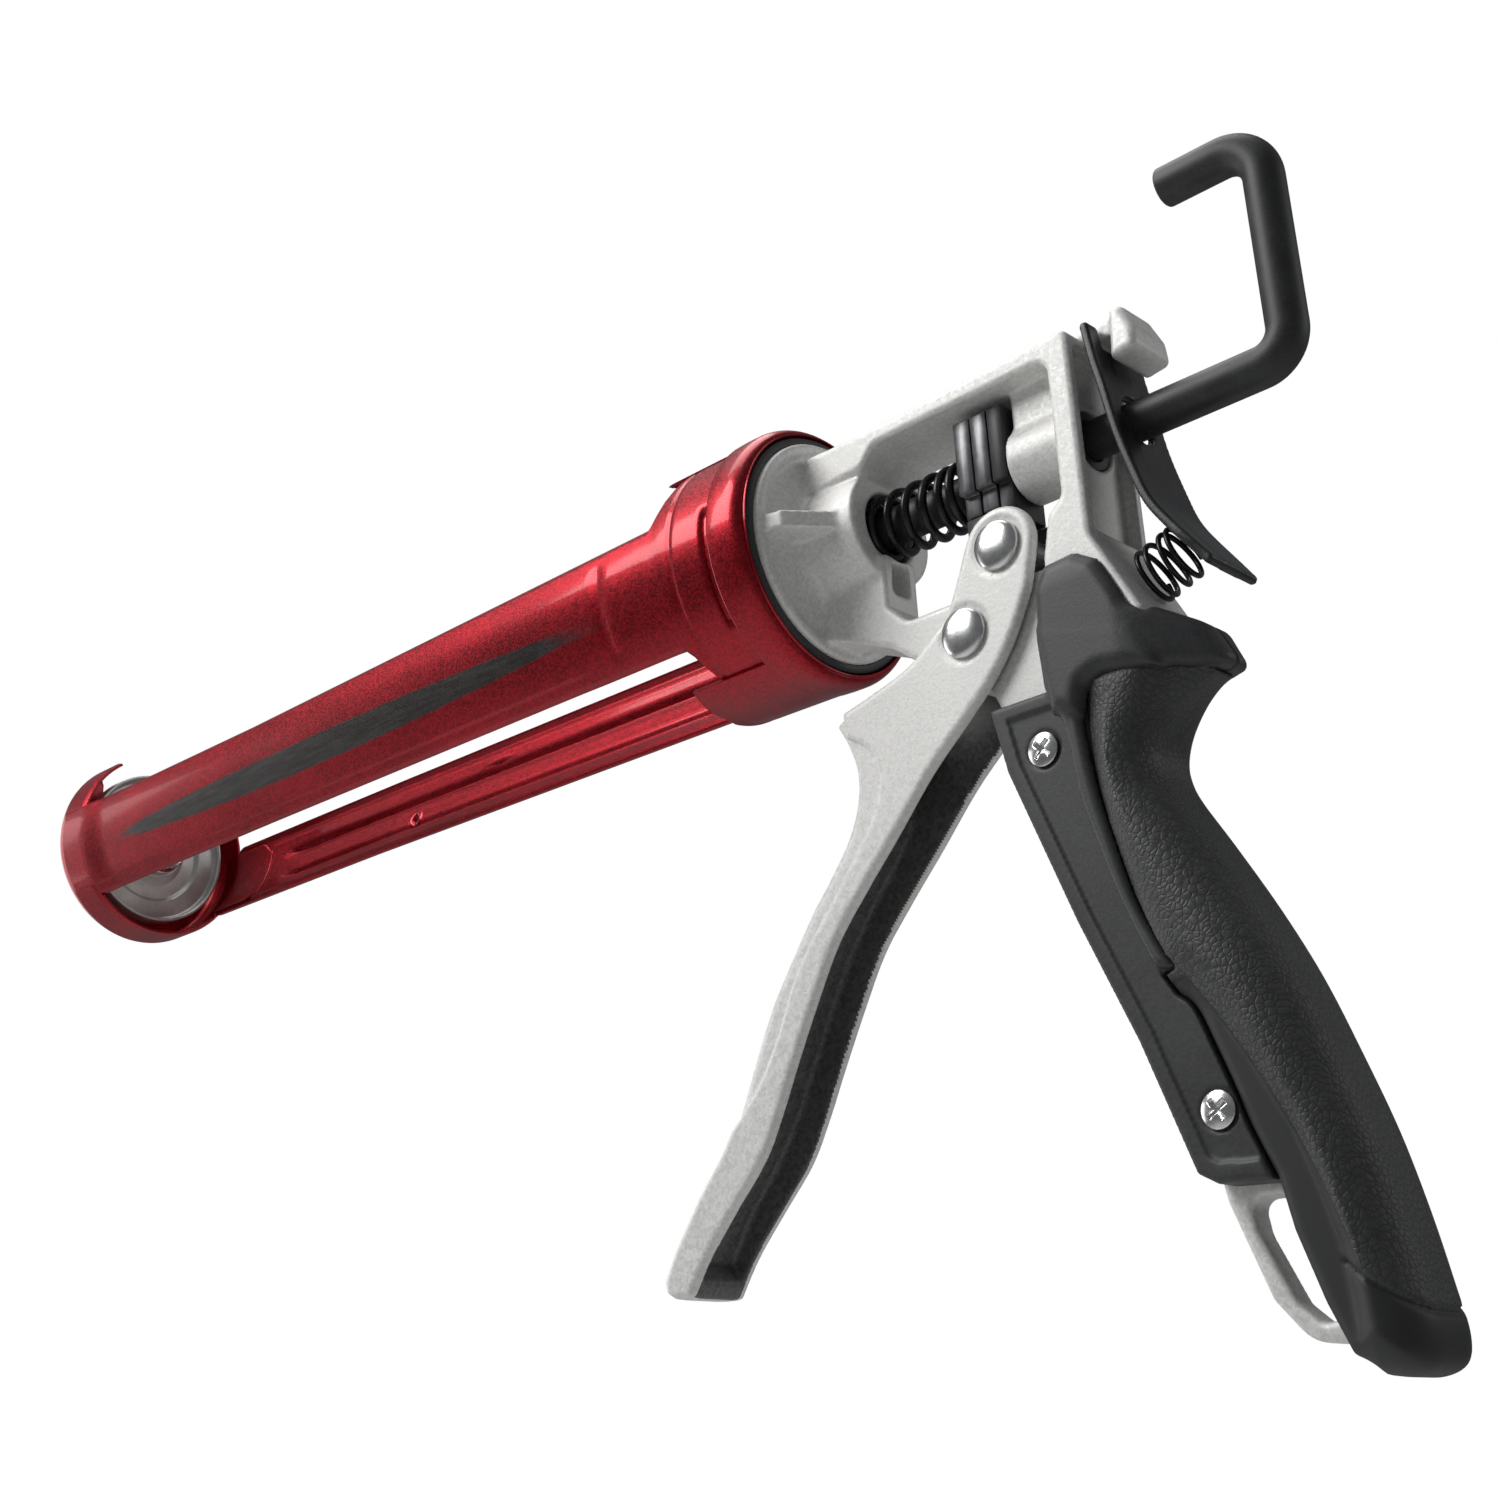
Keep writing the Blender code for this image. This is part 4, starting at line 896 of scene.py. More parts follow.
class Weaver:
    """Builds one Geometry Nodes tree with named inputs."""

    def __init__(self, name: str) -> None:
        """Start an empty tree with a geometry output."""
        self.tree = bpy.data.node_groups.new(name, "GeometryNodeTree")
        self.tree.interface.new_socket("Geometry", in_out="OUTPUT", socket_type="NodeSocketGeometry")
        self.start = self.tree.nodes.new("NodeGroupInput")
        self.end = self.tree.nodes.new("NodeGroupOutput")
        self.names: dict[str, str] = {}

    def input(self, name: str, kind: str, value: object) -> object:
        """Add a named input and return its socket."""
        item = self.tree.interface.new_socket(name, in_out="INPUT", socket_type=f"NodeSocket{kind}")
        if value is not None:
            item.default_value = value
        self.names[name] = item.identifier
        return self.start.outputs[name]

    def node(self, kind: str, settings: dict, values: dict) -> object:
        """Add a node, set its properties and feed its sockets."""
        made = self.tree.nodes.new(kind)
        for key, value in settings.items():
            setattr(made, key, value)
        for key, value in values.items():
            if isinstance(value, bpy.types.NodeSocket):
                self.tree.links.new(value, made.inputs[key])
            else:
                made.inputs[key].default_value = value
        return made

    def close(self, geometry: object, finish: bpy.types.Material) -> None:
        """End the tree in Realize Instances and Set Material."""
        real = self.node("GeometryNodeRealizeInstances", {}, {"Geometry": geometry})
        painted = self.node("GeometryNodeSetMaterial", {}, {"Geometry": real.outputs[0], "Material": finish})
        smooth = self.node("GeometryNodeSetShadeSmooth", {}, {0: painted.outputs[0]})
        self.tree.links.new(smooth.outputs[0], self.end.inputs[0])

    def make(self, name: str, values: dict[str, object]) -> bpy.types.Object:
        """Run the tree on an empty mesh and return the plain mesh it makes.

        Args:
            name: The piece's name.
            values: Input values by name.

        Returns:
            The piece, with no modifier left.
        """
        carrier = bpy.data.objects.new(name, bpy.data.meshes.new(name))
        bpy.context.scene.collection.objects.link(carrier)
        modifier = carrier.modifiers.new("weave", "NODES")
        modifier.node_group = self.tree
        for key, value in values.items():
            modifier[self.names[key]] = value
        return settle(carrier)


def coil_tree(finish: bpy.types.Material) -> Weaver:
    """A compression spring along +Z with closed end turns.

    Args:
        finish: The spring's material.

    Returns:
        The tree, with inputs Turns, Radius, Wire and Length.
    """
    weave = Weaver("coil_spring")
    turns = weave.input("Turns", "Float", 6.0)
    radius = weave.input("Radius", "Float", 0.006)
    wire = weave.input("Wire", "Float", 0.001)
    length = weave.input("Length", "Float", 0.03)
    spiral = weave.node(
        "GeometryNodeCurveSpiral", {},
        {"Resolution": 40, "Rotations": turns, "Start Radius": radius, "End Radius": radius, "Height": 1.0},
    )
    place = weave.node("GeometryNodeInputPosition", {}, {})
    split = weave.node("ShaderNodeSeparateXYZ", {}, {0: place.outputs[0]})
    tail = weave.node("ShaderNodeMath", {"operation": "DIVIDE"}, {0: 0.9, 1: turns})
    far = weave.node("ShaderNodeMath", {"operation": "SUBTRACT"}, {0: 1.0, 1: tail.outputs[0]})
    middle = weave.node(
        "ShaderNodeMapRange", {"interpolation_type": "SMOOTHSTEP", "clamp": True},
        {0: split.outputs[2], 1: tail.outputs[0], 2: far.outputs[0], 3: 0.0, 4: 1.0},
    )
    steady = weave.node(
        "ShaderNodeMapRange", {"clamp": True},
        {0: split.outputs[2], 1: tail.outputs[0], 2: far.outputs[0], 3: 0.0, 4: 1.0},
    )
    share = weave.node(
        "ShaderNodeMix", {"data_type": "FLOAT"},
        {0: 0.35, 2: steady.outputs[0], 3: middle.outputs[0]}
    )
    room = weave.node("ShaderNodeMath", {"operation": "MULTIPLY"}, {0: wire, 1: 3.0})
    active = weave.node("ShaderNodeMath", {"operation": "SUBTRACT"}, {0: length, 1: room.outputs[0]})
    height = weave.node(
        "ShaderNodeMath", {"operation": "MULTIPLY_ADD"},
        {0: share.outputs[0], 1: active.outputs[0], 2: wire}
    )
    low = weave.node(
        "ShaderNodeMapRange", {"clamp": True},
        {0: split.outputs[2], 1: 0.0, 2: tail.outputs[0], 3: 0.0, 4: 1.0}
    )
    high = weave.node(
        "ShaderNodeMapRange", {"clamp": True},
        {0: split.outputs[2], 1: far.outputs[0], 2: 1.0, 3: 0.0, 4: 1.0}
    )
    ends = weave.node("ShaderNodeMath", {"operation": "ADD"}, {0: low.outputs[0], 1: high.outputs[0]})
    lead = weave.node("ShaderNodeMath", {"operation": "SUBTRACT"}, {0: ends.outputs[0], 1: 0.5})
    rise = weave.node(
        "ShaderNodeMath", {"operation": "MULTIPLY_ADD"},
        {0: lead.outputs[0], 1: wire, 2: height.outputs[0]}
    )
    joined = weave.node(
        "ShaderNodeCombineXYZ", {}, {0: split.outputs[0], 1: split.outputs[1], 2: rise.outputs[0]}
    )
    moved = weave.node(
        "GeometryNodeSetPosition", {}, {"Geometry": spiral.outputs[0], "Position": joined.outputs[0]}
    )
    half = weave.node("ShaderNodeMath", {"operation": "MULTIPLY"}, {0: wire, 1: 0.5})
    ring = weave.node(
        "GeometryNodeCurvePrimitiveCircle", {"mode": "RADIUS"},
        {"Resolution": 14, "Radius": half.outputs[0]}
    )
    tube = weave.node(
        "GeometryNodeCurveToMesh", {},
        {"Curve": moved.outputs[0], "Profile Curve": ring.outputs[0], "Fill Caps": True}
    )
    weave.close(tube.outputs[0], finish)
    return weave


def repeat_tree(name: str, pattern: bpy.types.Object, finish: bpy.types.Material, spots: Sequence) -> Weaver:
    """Copies of a pattern at stated places.

    Args:
        name: The tree's name.
        pattern: The object that is repeated, facing -Y at the origin.
        finish: The copies' material.
        spots: Places as (x, y, z, turn about Y, turn about Z), in gun millimetres and degrees.

    Returns:
        The tree, with one input, Scale.
    """
    weave = Weaver(name)
    scale = weave.input("Scale", "Float", 1.0)
    source = weave.node("GeometryNodeObjectInfo", {"transform_space": "ORIGINAL"}, {"Object": pattern})
    gather = weave.node("GeometryNodeJoinGeometry", {}, {})
    for x, y, z, roll, turn in spots:
        at = DATUM.place(np.array([[x, y, z]]))[0]
        spot = weave.node("GeometryNodePoints", {}, {"Count": 1, "Position": tuple(at)})
        angle = (0.0, math.radians(roll), math.radians(turn))
        copy = weave.node(
            "GeometryNodeInstanceOnPoints", {},
            {
                "Points": spot.outputs[0], "Instance": source.outputs["Geometry"],
                "Rotation": angle, "Scale": (1, 1, 1)
            },
        )
        sized = weave.node("GeometryNodeScaleInstances", {}, {"Instances": copy.outputs[0]})
        weave.tree.links.new(scale, sized.inputs["Scale"])
        weave.tree.links.new(sized.outputs[0], gather.inputs[0])
    weave.close(gather.outputs[0], finish)
    return weave


# ---------------------------------------------------------------- sub-assemblies


class Finishes:
    """Every material, built once."""

    def __init__(self) -> None:
        """Build them all."""
        self.paint = CandyPaint().material()
        self.printed = CandyPaint("candy_red_printed", streak=True).material()
        self.cast = CastFinish().material()
        # A darker copy of the cast finish, which paints shade on the faces inside the trigger's channel.
        self.core = CastFinish("cast_core", (0.17, 0.169, 0.165), (0.07, 0.07, 0.068)).material()
        self.rod = BlackSteel("black_rod", (0.02, 0.0205, 0.021), (0.045, 0.046, 0.048), 0.5, 0.2).material()
        self.lever = BlackSteel(
            "black_lever", (0.014, 0.0145, 0.015), (0.05, 0.05, 0.052), 0.36, 0.4
        ).material()
        self.spring = BlackSteel(
            "black_spring", (0.01, 0.01, 0.011), (0.04, 0.04, 0.042), 0.28, 0.6
        ).material()
        self.plate = BrightSteel(
            "grey_plate", (0.21, 0.21, 0.215), (0.11, 0.11, 0.115), 0.34, (1, 1, 0.08)
        ).material()
        self.bright = BrightSteel().material()
        self.zinc = RingedZinc().material()
        self.nylon = MouldedNylon().material()
        self.rubber = GrainedRubber().material()


@dataclass
class Rail:
    """One pressed rail of the barrel, with its half of the band round the collar."""

    middle: float
    half: float
    front: float
    band: Point
    radius: float = 26.3
    band_radius: float = 28.75
    cone_start: float = -180.0
    cone_end: float = -24.0
    flare_start: float = -28.5
    flare_end: float = -21.0
    low_flare_start: float = -25.0
    swell: float = 0.0
    bulge: float = 0.0
    wall: float = 0.8
    rounding: float = 0.0
    lead: float = 0.0
    crowding: float = 0.035
    crease: float = -44.0
    tail: float = -11.5
    rear: float = -8.6
    ribbed: bool = False
    slit: Point | None = None

    def stations(self) -> Array:
        """Places along the rail, closer together where its shape changes."""
        places = [
            np.linspace(self.front, self.front + 6, 16)[:-1],
            np.linspace(self.front + 6, self.front + 30, 22)[:-1],
            self._steps(self.front + 30, -60.0),
            np.linspace(-60, self.flare_end - 3, 34)[:-1],
            np.linspace(self.flare_end - 3, self.tail, 24)[:-1],
            np.linspace(self.tail, 0, 10),
        ]
        return np.concatenate(places)

    def _steps(self, start: float, end: float) -> Array:
        """Places along the long middle, close together at the drain dimple."""
        places = np.linspace(start, end, 46)[:-1]
        if self.ribbed:
            near = np.linspace(-174.5, -167.3, 25)
            places = np.concatenate([places[(places < -174.8) | (places > -167.0)], near])
            places.sort()
        return places

    def surface(self, columns: int = 64) -> Array:
        """Points on the rail's outer face.

        Args:
            columns: Points across the rail.

        Returns:
            An (n, m, 3) array in gun millimetres.
        """
        x = self.stations()[:, None]
        share = np.linspace(0, 1, columns)[None, :]
        share = share - self.crowding * np.sin(TURN * share)
        widen = ease(x, self.flare_start, self.flare_end)
        widen_low = ease(x, self.low_flare_start, self.flare_end)
        nose = np.clip((x - self.front) / max(self.rounding, 1e-6), 0, 1) if self.rounding else 1.0
        trim = 7.0 * (1 - np.sqrt(np.maximum(1 - (1 - nose) ** 2, 0)))
        first = (self.middle - self.half + trim) * (1 - widen) + self.band[0] * widen
        last = (self.middle + self.half - trim) * (1 - widen_low) + self.band[1] * widen_low
        turn = first + (last - first) * share
        open_out = np.clip((x - self.cone_start) / (self.cone_end - self.cone_start), 0, 1)
        radius = self.radius + (self.band_radius - self.swell - self.radius) * open_out
        radius = radius + self.swell * ease(x, self.flare_start - 2, self.flare_start + 2)
        radius = radius + self.bulge * ease(x, self.flare_start - 2, self.flare_start + 3) * (
            0.5 - 0.5 * np.sin(np.radians(turn + 20))
        )
        radius = radius + self.lead * (1 - ease(x, self.front + 9, self.front + 20))
        edge = np.minimum(turn - first, last - turn)
        radius = radius - 0.75 * (1 - ease(edge, 0.0, 3.4)) * (1 - widen)
        radius = radius - 0.3 * np.exp(-(((x - self.flare_end) / 0.5) ** 2))
        step = np.exp(-(((x - self.crease) / 1.4) ** 2))
        radius = radius - 0.3 * step * ease(edge, 2.0, 5.0) * self._panel_edge(share)
        if self.ribbed:
            radius = radius - self._ribs(x, share)
        else:
            low_line = last - 8.5
            radius = radius - 0.32 * ease(turn, low_line - 0.5, low_line + 0.7) * (1 - ease(x, -62, -48))
        end = np.full_like(turn, self.rear)
        if self.slit:
            slit_from, slit_to = self.slit
            opened = ease(turn, slit_from - 2, slit_from + 2) * (1 - ease(turn, slit_to - 2, slit_to + 2))
            end = end - 1.3 * opened
            radius = radius - 1.0 * opened * ease(x, -12.6, -10.4)
        stretch = (x - self.tail) / -self.tail * (end - self.tail)
        x = np.where(x > self.tail, self.tail + stretch, x + 0 * end)
        angle = np.radians(turn)
        return np.stack([x, radius * np.cos(angle), radius * np.sin(angle)], 2)

    def _panel_edge(self, share: Array) -> Array:
        """Where the short cross crease shows on the rail."""
        return ease(share, 0.1, 0.2) * (1 - ease(share, 0.8, 0.9))

    def _ribs(self, x: Array, share: Array) -> Array:
        """Depth of the pressed panel with its two long ribs and its weld marks."""
        reach = ease(share, 0.08, 0.16) * (1 - ease(share, 0.84, 0.92))
        bow = 10.0 * (2 * share - 1) ** 2
        start = self.front + 9 + bow
        panel = 0.75 * reach * ease(x, start, start + 4) * (1 - ease(x, -52, -44))
        long = ease(x, self.front + 24, self.front + 34) * (1 - ease(x, -60, -50))
        ribs = sum(np.exp(-(((share - spot) / 0.055) ** 2)) for spot in (0.34, 0.66))
        marks = 0.0
        for at, place, deep, wide in (
            (-246.5, 0.62, 0.5, 1.5), (-170.9, 0.44, 2.4, 1.25), (-139.0, 0.72, 0.4, 1.4)
        ):
            across = (share - place) * math.radians(2 * self.half) * self.radius
            away = np.hypot(x - at, across)
            marks = marks + deep * (1 - ease(away, wide - 0.35, wide + 0.35))
            marks = marks - 0.25 * np.exp(-(((away - wide - 0.7) / 0.45) ** 2))
        return panel - 1.05 * long * ribs - marks

    def build(self, name: str, finish: bpy.types.Material) -> bpy.types.Object:
        """Press the rail from its sheet."""
        rows = self.surface(112 if self.ribbed else 64)
        verts, faces = sheet(rows, self.wall)
        piece = tidy(make_piece(name, verts, faces, finish))
        return ease_edges(piece, 0.22, 2, 60)


@dataclass
class Barrel:
    """The open barrel, which turns on the body's flange."""

    finishes: Finishes
    cup_radius: float = 27.0
    cup_depth: float = 13.5
    corner: float = 3.2
    slot: float = 12.9
    wall: float = 0.8
    turn: float = -3.0
    spread: float = 71.0
    rail_half: float = 28.75
    seam_top: float = 126.0
    seam_low: float = 246.0
    near_lift: float = 2.2
    horn_trim: float = 5.0

    def build(self) -> None:
        """Make the cup, both rails, the collar and dress the snap ring."""
        fit(self.cup(), Body.BARREL, "red_paint", "front_cup")
        muzzle = DATUM.muzzle
        near = Rail(
            270 - self.near_lift - self.spread + self.turn, self.rail_half + self.near_lift,
            muzzle + 3.6, (self.seam_top, self.seam_low)
        )
        near.lead = self.cup_radius + 0.05 - near.radius
        near.slit = (168.0, 221.0)
        fit(near.build("label_rail", self.finishes.printed), Body.BARREL, "red_paint")
        band = (self.seam_low - 3.0, self.seam_top + 363.0)
        far = Rail(270 + self.spread + self.turn, self.rail_half, muzzle + self.cup_depth + 1.2, band)
        far.ribbed = True
        far.rounding = 4.0
        far.flare_start = -35.0
        far.low_flare_start = -33.0
        far.flare_end = -30.5
        far.cone_end = -9.0
        far.swell = 1.0
        far.bulge = 0.7
        far.band_radius = 28.9
        piece = far.build("ribbed_rail_pressed", self.finishes.paint)
        fit(piece, Body.BARREL, "red_paint", "ribbed_rail")
        fit(self.tongue(), Body.BARREL, "red_paint")
        fit(self.collar(), Body.BARREL, "red_paint", "collar_ring")
        dress("snap_ring", self.finishes.plate)

    def cup(self) -> bpy.types.Object:
        """The slotted front cup, from its slot's edge round the corner to the rear rim."""
        muzzle = DATUM.muzzle
        tip = math.degrees(math.acos(self.slot / (self.cup_radius - 0.15)))
        turns = np.radians(np.linspace(180 + self.horn_trim - tip, 360 + tip, 150))
        flat = self.cup_radius - self.corner
        bend = self.corner * math.pi / 2
        total = flat + bend + self.cup_depth - self.corner
        rows = []
        for angle in turns:
            lower = math.sin(angle) <= 0
            start = self.slot if lower else min(self.slot / abs(math.cos(angle)), self.cup_radius - 0.15)
            along = start
            if start > flat:
                along = flat + self.corner * math.asin((start - flat) / self.corner)
            line = []
            for share in np.linspace(0, 1, 44):
                way = along + (total - along) * share
                if way < flat:
                    spot = (muzzle, way)
                elif way < flat + bend:
                    bent = (way - flat) / self.corner
                    spot = (muzzle + self.corner * (1 - math.cos(bent)), flat + self.corner * math.sin(bent))
                else:
                    spot = (muzzle + self.corner + way - flat - bend, self.cup_radius)
                rim = muzzle + self.cup_depth
                lip = 0.35 * float(ease(spot[0], rim - 1.6, rim - 0.3))
                line.append((spot[0], (spot[1] - lip) * math.cos(angle), (spot[1] - lip) * math.sin(angle)))
            rows.append(line)
        verts, faces = sheet(np.array(rows).transpose(1, 0, 2), self.wall)
        piece = tidy(make_piece("front_cup_pressed", verts, faces, self.finishes.paint))
        return ease_edges(piece, 0.2, 2, 60)

    def tongue(self) -> bpy.types.Object:
        """The strip of the cup that runs on under the far rail."""
        muzzle = DATUM.muzzle
        middle = 270 + self.spread + self.turn
        x = np.concatenate([
            np.linspace(muzzle + 6, muzzle + 12, 4), np.linspace(muzzle + 12.5, muzzle + 33, 22),
        ])[:, None]
        share = np.linspace(0, 1, 24)[None, :]
        trim = 8 * ease(x, muzzle + 28, muzzle + 33)
        turn = np.radians(middle + (self.rail_half - 4 - trim) * (2 * share - 1))
        radius = 26.9 - 1.65 * ease(x, muzzle + 12, muzzle + 15) + 0 * share
        rows = np.stack([x + 0 * share, radius * np.cos(turn), radius * np.sin(turn)], 2)
        verts, faces = sheet(rows, 0.7)
        return ease_edges(tidy(make_piece("cup_tongue", verts, faces, self.finishes.paint)), 0.15, 2, 60)

    def collar(self) -> bpy.types.Object:
        """The rolled collar: a sleeve under the bands and the bead behind them."""
        bead = [(-9.6, 27.8)]
        bead += [
            (-9.4 + 0.9 * (1 - math.cos(a)), 28.1 + 1.55 * math.sin(a))
            for a in np.linspace(0.1, math.pi / 2, 8)
        ]
        bead += [(-6.0, 29.78), (-4.0, 29.8)]
        bead += [
            (-3.2 + 3.4 * math.sin(a), 27.9 + 1.9 * math.cos(a)) for a in np.linspace(0.1, math.pi / 2, 10)
        ]
        bead += [(0.75, 27.85), (0.8, 27.6), (0.5, 27.45), (-1.2, 27.45), (-1.6, 27.05)]
        profile = [(-21.0, 27.1), (-21.0, 27.75), *bead]
        verts, faces = lathe(profile, 160)
        piece = tidy(make_piece("collar_bead", verts, faces, self.finishes.paint))
        piece.data.set_sharp_from_angle(angle=math.radians(60))
        return piece


@dataclass
class Casting:
    """The silver aluminium casting, with what is pressed into it."""

    finishes: Finishes
    flange: float = 25.2
    boss: float = 13.0
    spring_room: float = 7.9
    bore: float = 6.35
    half: float = 10.5
    web_half: float = 5.5
    tang_half: float = 3.0
    gusset: float = 3.8

    def build(self) -> None:
        """Make the casting, its tang with the loop, and its rings and bushes."""
        fit(self.upper(), Body.CASTING, "cast_silver", "cast_body")
        fit(self.tang(), Body.CASTING, "cast_silver")
        # The black nylon bearing ring, drawn wider than the part and reaching further back, so that its black
        # also stands in for the shadow in the gap behind the collar: partly a real ring, partly painted
        # shade.
        profile = [
            (-5.0, 24.6), (-5.0, 26.5), (-4.7, 26.75), (-1.9, 26.75), (-1.2, 27.1), (0.2, 27.1), (0.7, 26.8),
            (0.9, 26.2), (0.9, 25.4), (-0.4, 25.35), (-0.6, 24.6),
        ]
        ring = tidy(make_piece("bearing_seal", *lathe(profile, 128), self.finishes.nylon))
        ring.data.set_sharp_from_angle(angle=math.radians(60))
        fit(ring, Body.CASTING, "black_plastic", "bearing_ring")
        dress("front_bush", self.finishes.nylon)
        dress("rear_bush", self.finishes.nylon)

    def upper(self) -> bpy.types.Object:
        """Flange, boss, top rail, rear wall, web and lug, shaped as one field."""
        room = Mould((-6.5, -27.0, -62.0), (94.0, 27.0, 27.0), 0.5)
        disc = room.turned(rounded([
            (-5.0, 4.0, 0), (-5.0, 24.5, 0.3), (-0.5, 24.5, 0), (-0.5, 25.2, 0.2), (2.2, 25.2, 0.9),
            (2.2, 23.2, 0.9), (0.9, 22.0, 0.9), (1.9, 15.4, 1.6), (3.6, 13.4, 1.6),
            (17.4, 13.0, 0.7), (17.4, 4.0, 0),
        ]))
        shape = disc
        wedge = polygon_distance(
            [(0.5, -23.8), (0.5, 23.8), (6.2, 22.6), (13.6, 13.0), (13.6, -13.0), (6.2, -22.6)],
            room.x, room.y
        )
        fin = np.maximum(wedge, np.abs(room.z + 0.3) - self.gusset / 2)
        shape = weld(shape, fin, 0.9)
        frame_line = [
            (2.4, 10.5, 0), (18.6, 10.5, 3.0), (22.4, 14.6, 3.0), (67.1, 15.5, 3.0),
            (67.1, -14.4, 2.5), (63.6, -17.4, 2.0),
            (61.5, -26.0, 0), (61.5, -40.0, 0), (76.0, -50.0, 0), (79.6, -45.0, 0),
            (82.0, -43.0, 0.8), (72.6, -24.4, 4.0),
            (72.6, 20.6, 2.0), (60.0, 19.9, 0), (20.0, 18.4, 6.0), (2.4, 19.4, 0),
        ]
        rail_half = self.half - 1.2 * (1 - ease(room.x, 2.0, 22.0))
        shape = weld(shape, room.plate(room.flat(rounded(frame_line)), rail_half, 0.9), 2.2)
        web_line = [
            (1.5, -8.0, 0), (1.5, -22.5, 0), (4.3, -23.1, 0), (18.5, -29.2, 6), (25.0, -34.2, 4),
            (36.0, -43.0, 4),
            (42.6, -46.0, 3), (44.6, -50.5, 0), (47.6, -57.0, 0), (62.0, -57.0, 0),
            (66.5, -30.0, 0), (70.0, -22.0, 0),
            (66.0, -17.0, 2), (60.0, -25.1, 2), (23.6, -24.8, 4.2), (19.0, -20.0, 0), (19.0, -8.0, 0),
        ]
        shape = weld(shape, room.shape_of(web_line, self.web_half, 0.9), 2.0)
        boss = room.bar(8.0, 53.8, 70.6)
        block = room.box((54.2, 70.0), (-5.0, 5.0), (4.0, 17.0), 0.6)
        shape = weld(shape, weld(boss, block, 1.2), 1.4)
        lug = [(79.5, 11.6, 0.8), (85.5, 12.4, 1.5), (85.3, 17.0, 2.5), (82.4, 23.4, 2.4), (79.5, 23.1, 1.0)]
        lug_half = 7.0 - 0.12 * np.maximum(room.z - 12.0, 0)
        neck = room.box((69.0, 81.0), (-4.6, 4.6), (17.9, 21.4), 0.5)
        shape = weld(shape, weld(room.plate(room.flat(rounded(lug)), lug_half, 1.6), neck, 1.0), 1.0)
        shape = carve(shape, room.box((69.6, 78.6), (-8.0, 8.0), (-22.5, 17.0), 0.8), 0.8)
        shape = np.minimum(shape, np.maximum(room.bar(8.0, 60.0, 69.8), -room.bar(6.35, 50.0, 80.0)))
        shape = carve(shape, room.bar(self.spring_room, 9.4, 20.0), 0.6)
        shape = carve(shape, room.bar(self.bore, -8.0, 12.0), 0.3)
        shape = carve(shape, room.bar(self.bore, 50.0, 76.0), 0.3)
        shape = carve(
            shape,
            room.turned([(-6.0, 8.0), (-6.0, 21.5), (-3.0, 21.5), (-1.0, 15.0), (-1.0, 8.0)]), 1.0
        )
        shape = carve(shape, room.pin((40.0, -33.9), 3.3), 0.2)
        notch = room.plate(
            room.flat(rounded([(12.0, -9.0, 0), (12.0, -16.0, 3.0), (19.5, -16.0, 0), (19.5, -9.0, 0)])),
            2.6, 1.0
        )
        shape = carve(shape, notch, 0.6)
        return make_piece("casting_head", *room.mesh(shape), self.finishes.cast)

    def tang(self) -> bpy.types.Object:
        """The core inside the grip, which ends in the lanyard loop."""
        room = Mould((46.0, -4.5, -179.0), (106.0, 4.5, -50.0), 0.5)
        line = [
            (50.0, -52.0, 0), (62.0, -52.0, 0), (64.5, -80.0, 0), (77.0, -118.0, 0), (91.0, -149.0, 3),
            (103.0, -177.0, 3), (91.5, -175.3, 7), (85.4, -168.0, 4), (79.2, -151.0, 3),
            (77.4, -141.0, 0), (56.0, -80.0, 0),
        ]
        hole = [
            (83.6, -151.0, 2.4), (91.6, -151.2, 1.5), (99.6, -172.0, 1.5), (94.2, -172.6, 2.4),
            (90.0, -168.8, 2.5), (84.6, -157.0, 3.0),
        ]
        shape = room.shape_of(line, self.tang_half, 1.3)
        shape = carve(shape, room.plate(room.flat(rounded(hole)), 9.0, 0.1), 1.2)
        for at in ((56.2, -63.3), (83.7, -136.4)):
            shape = carve(shape, room.pin(at, 2.3), 0.2)
        return make_piece("casting_tang", *room.mesh(shape), self.finishes.cast)


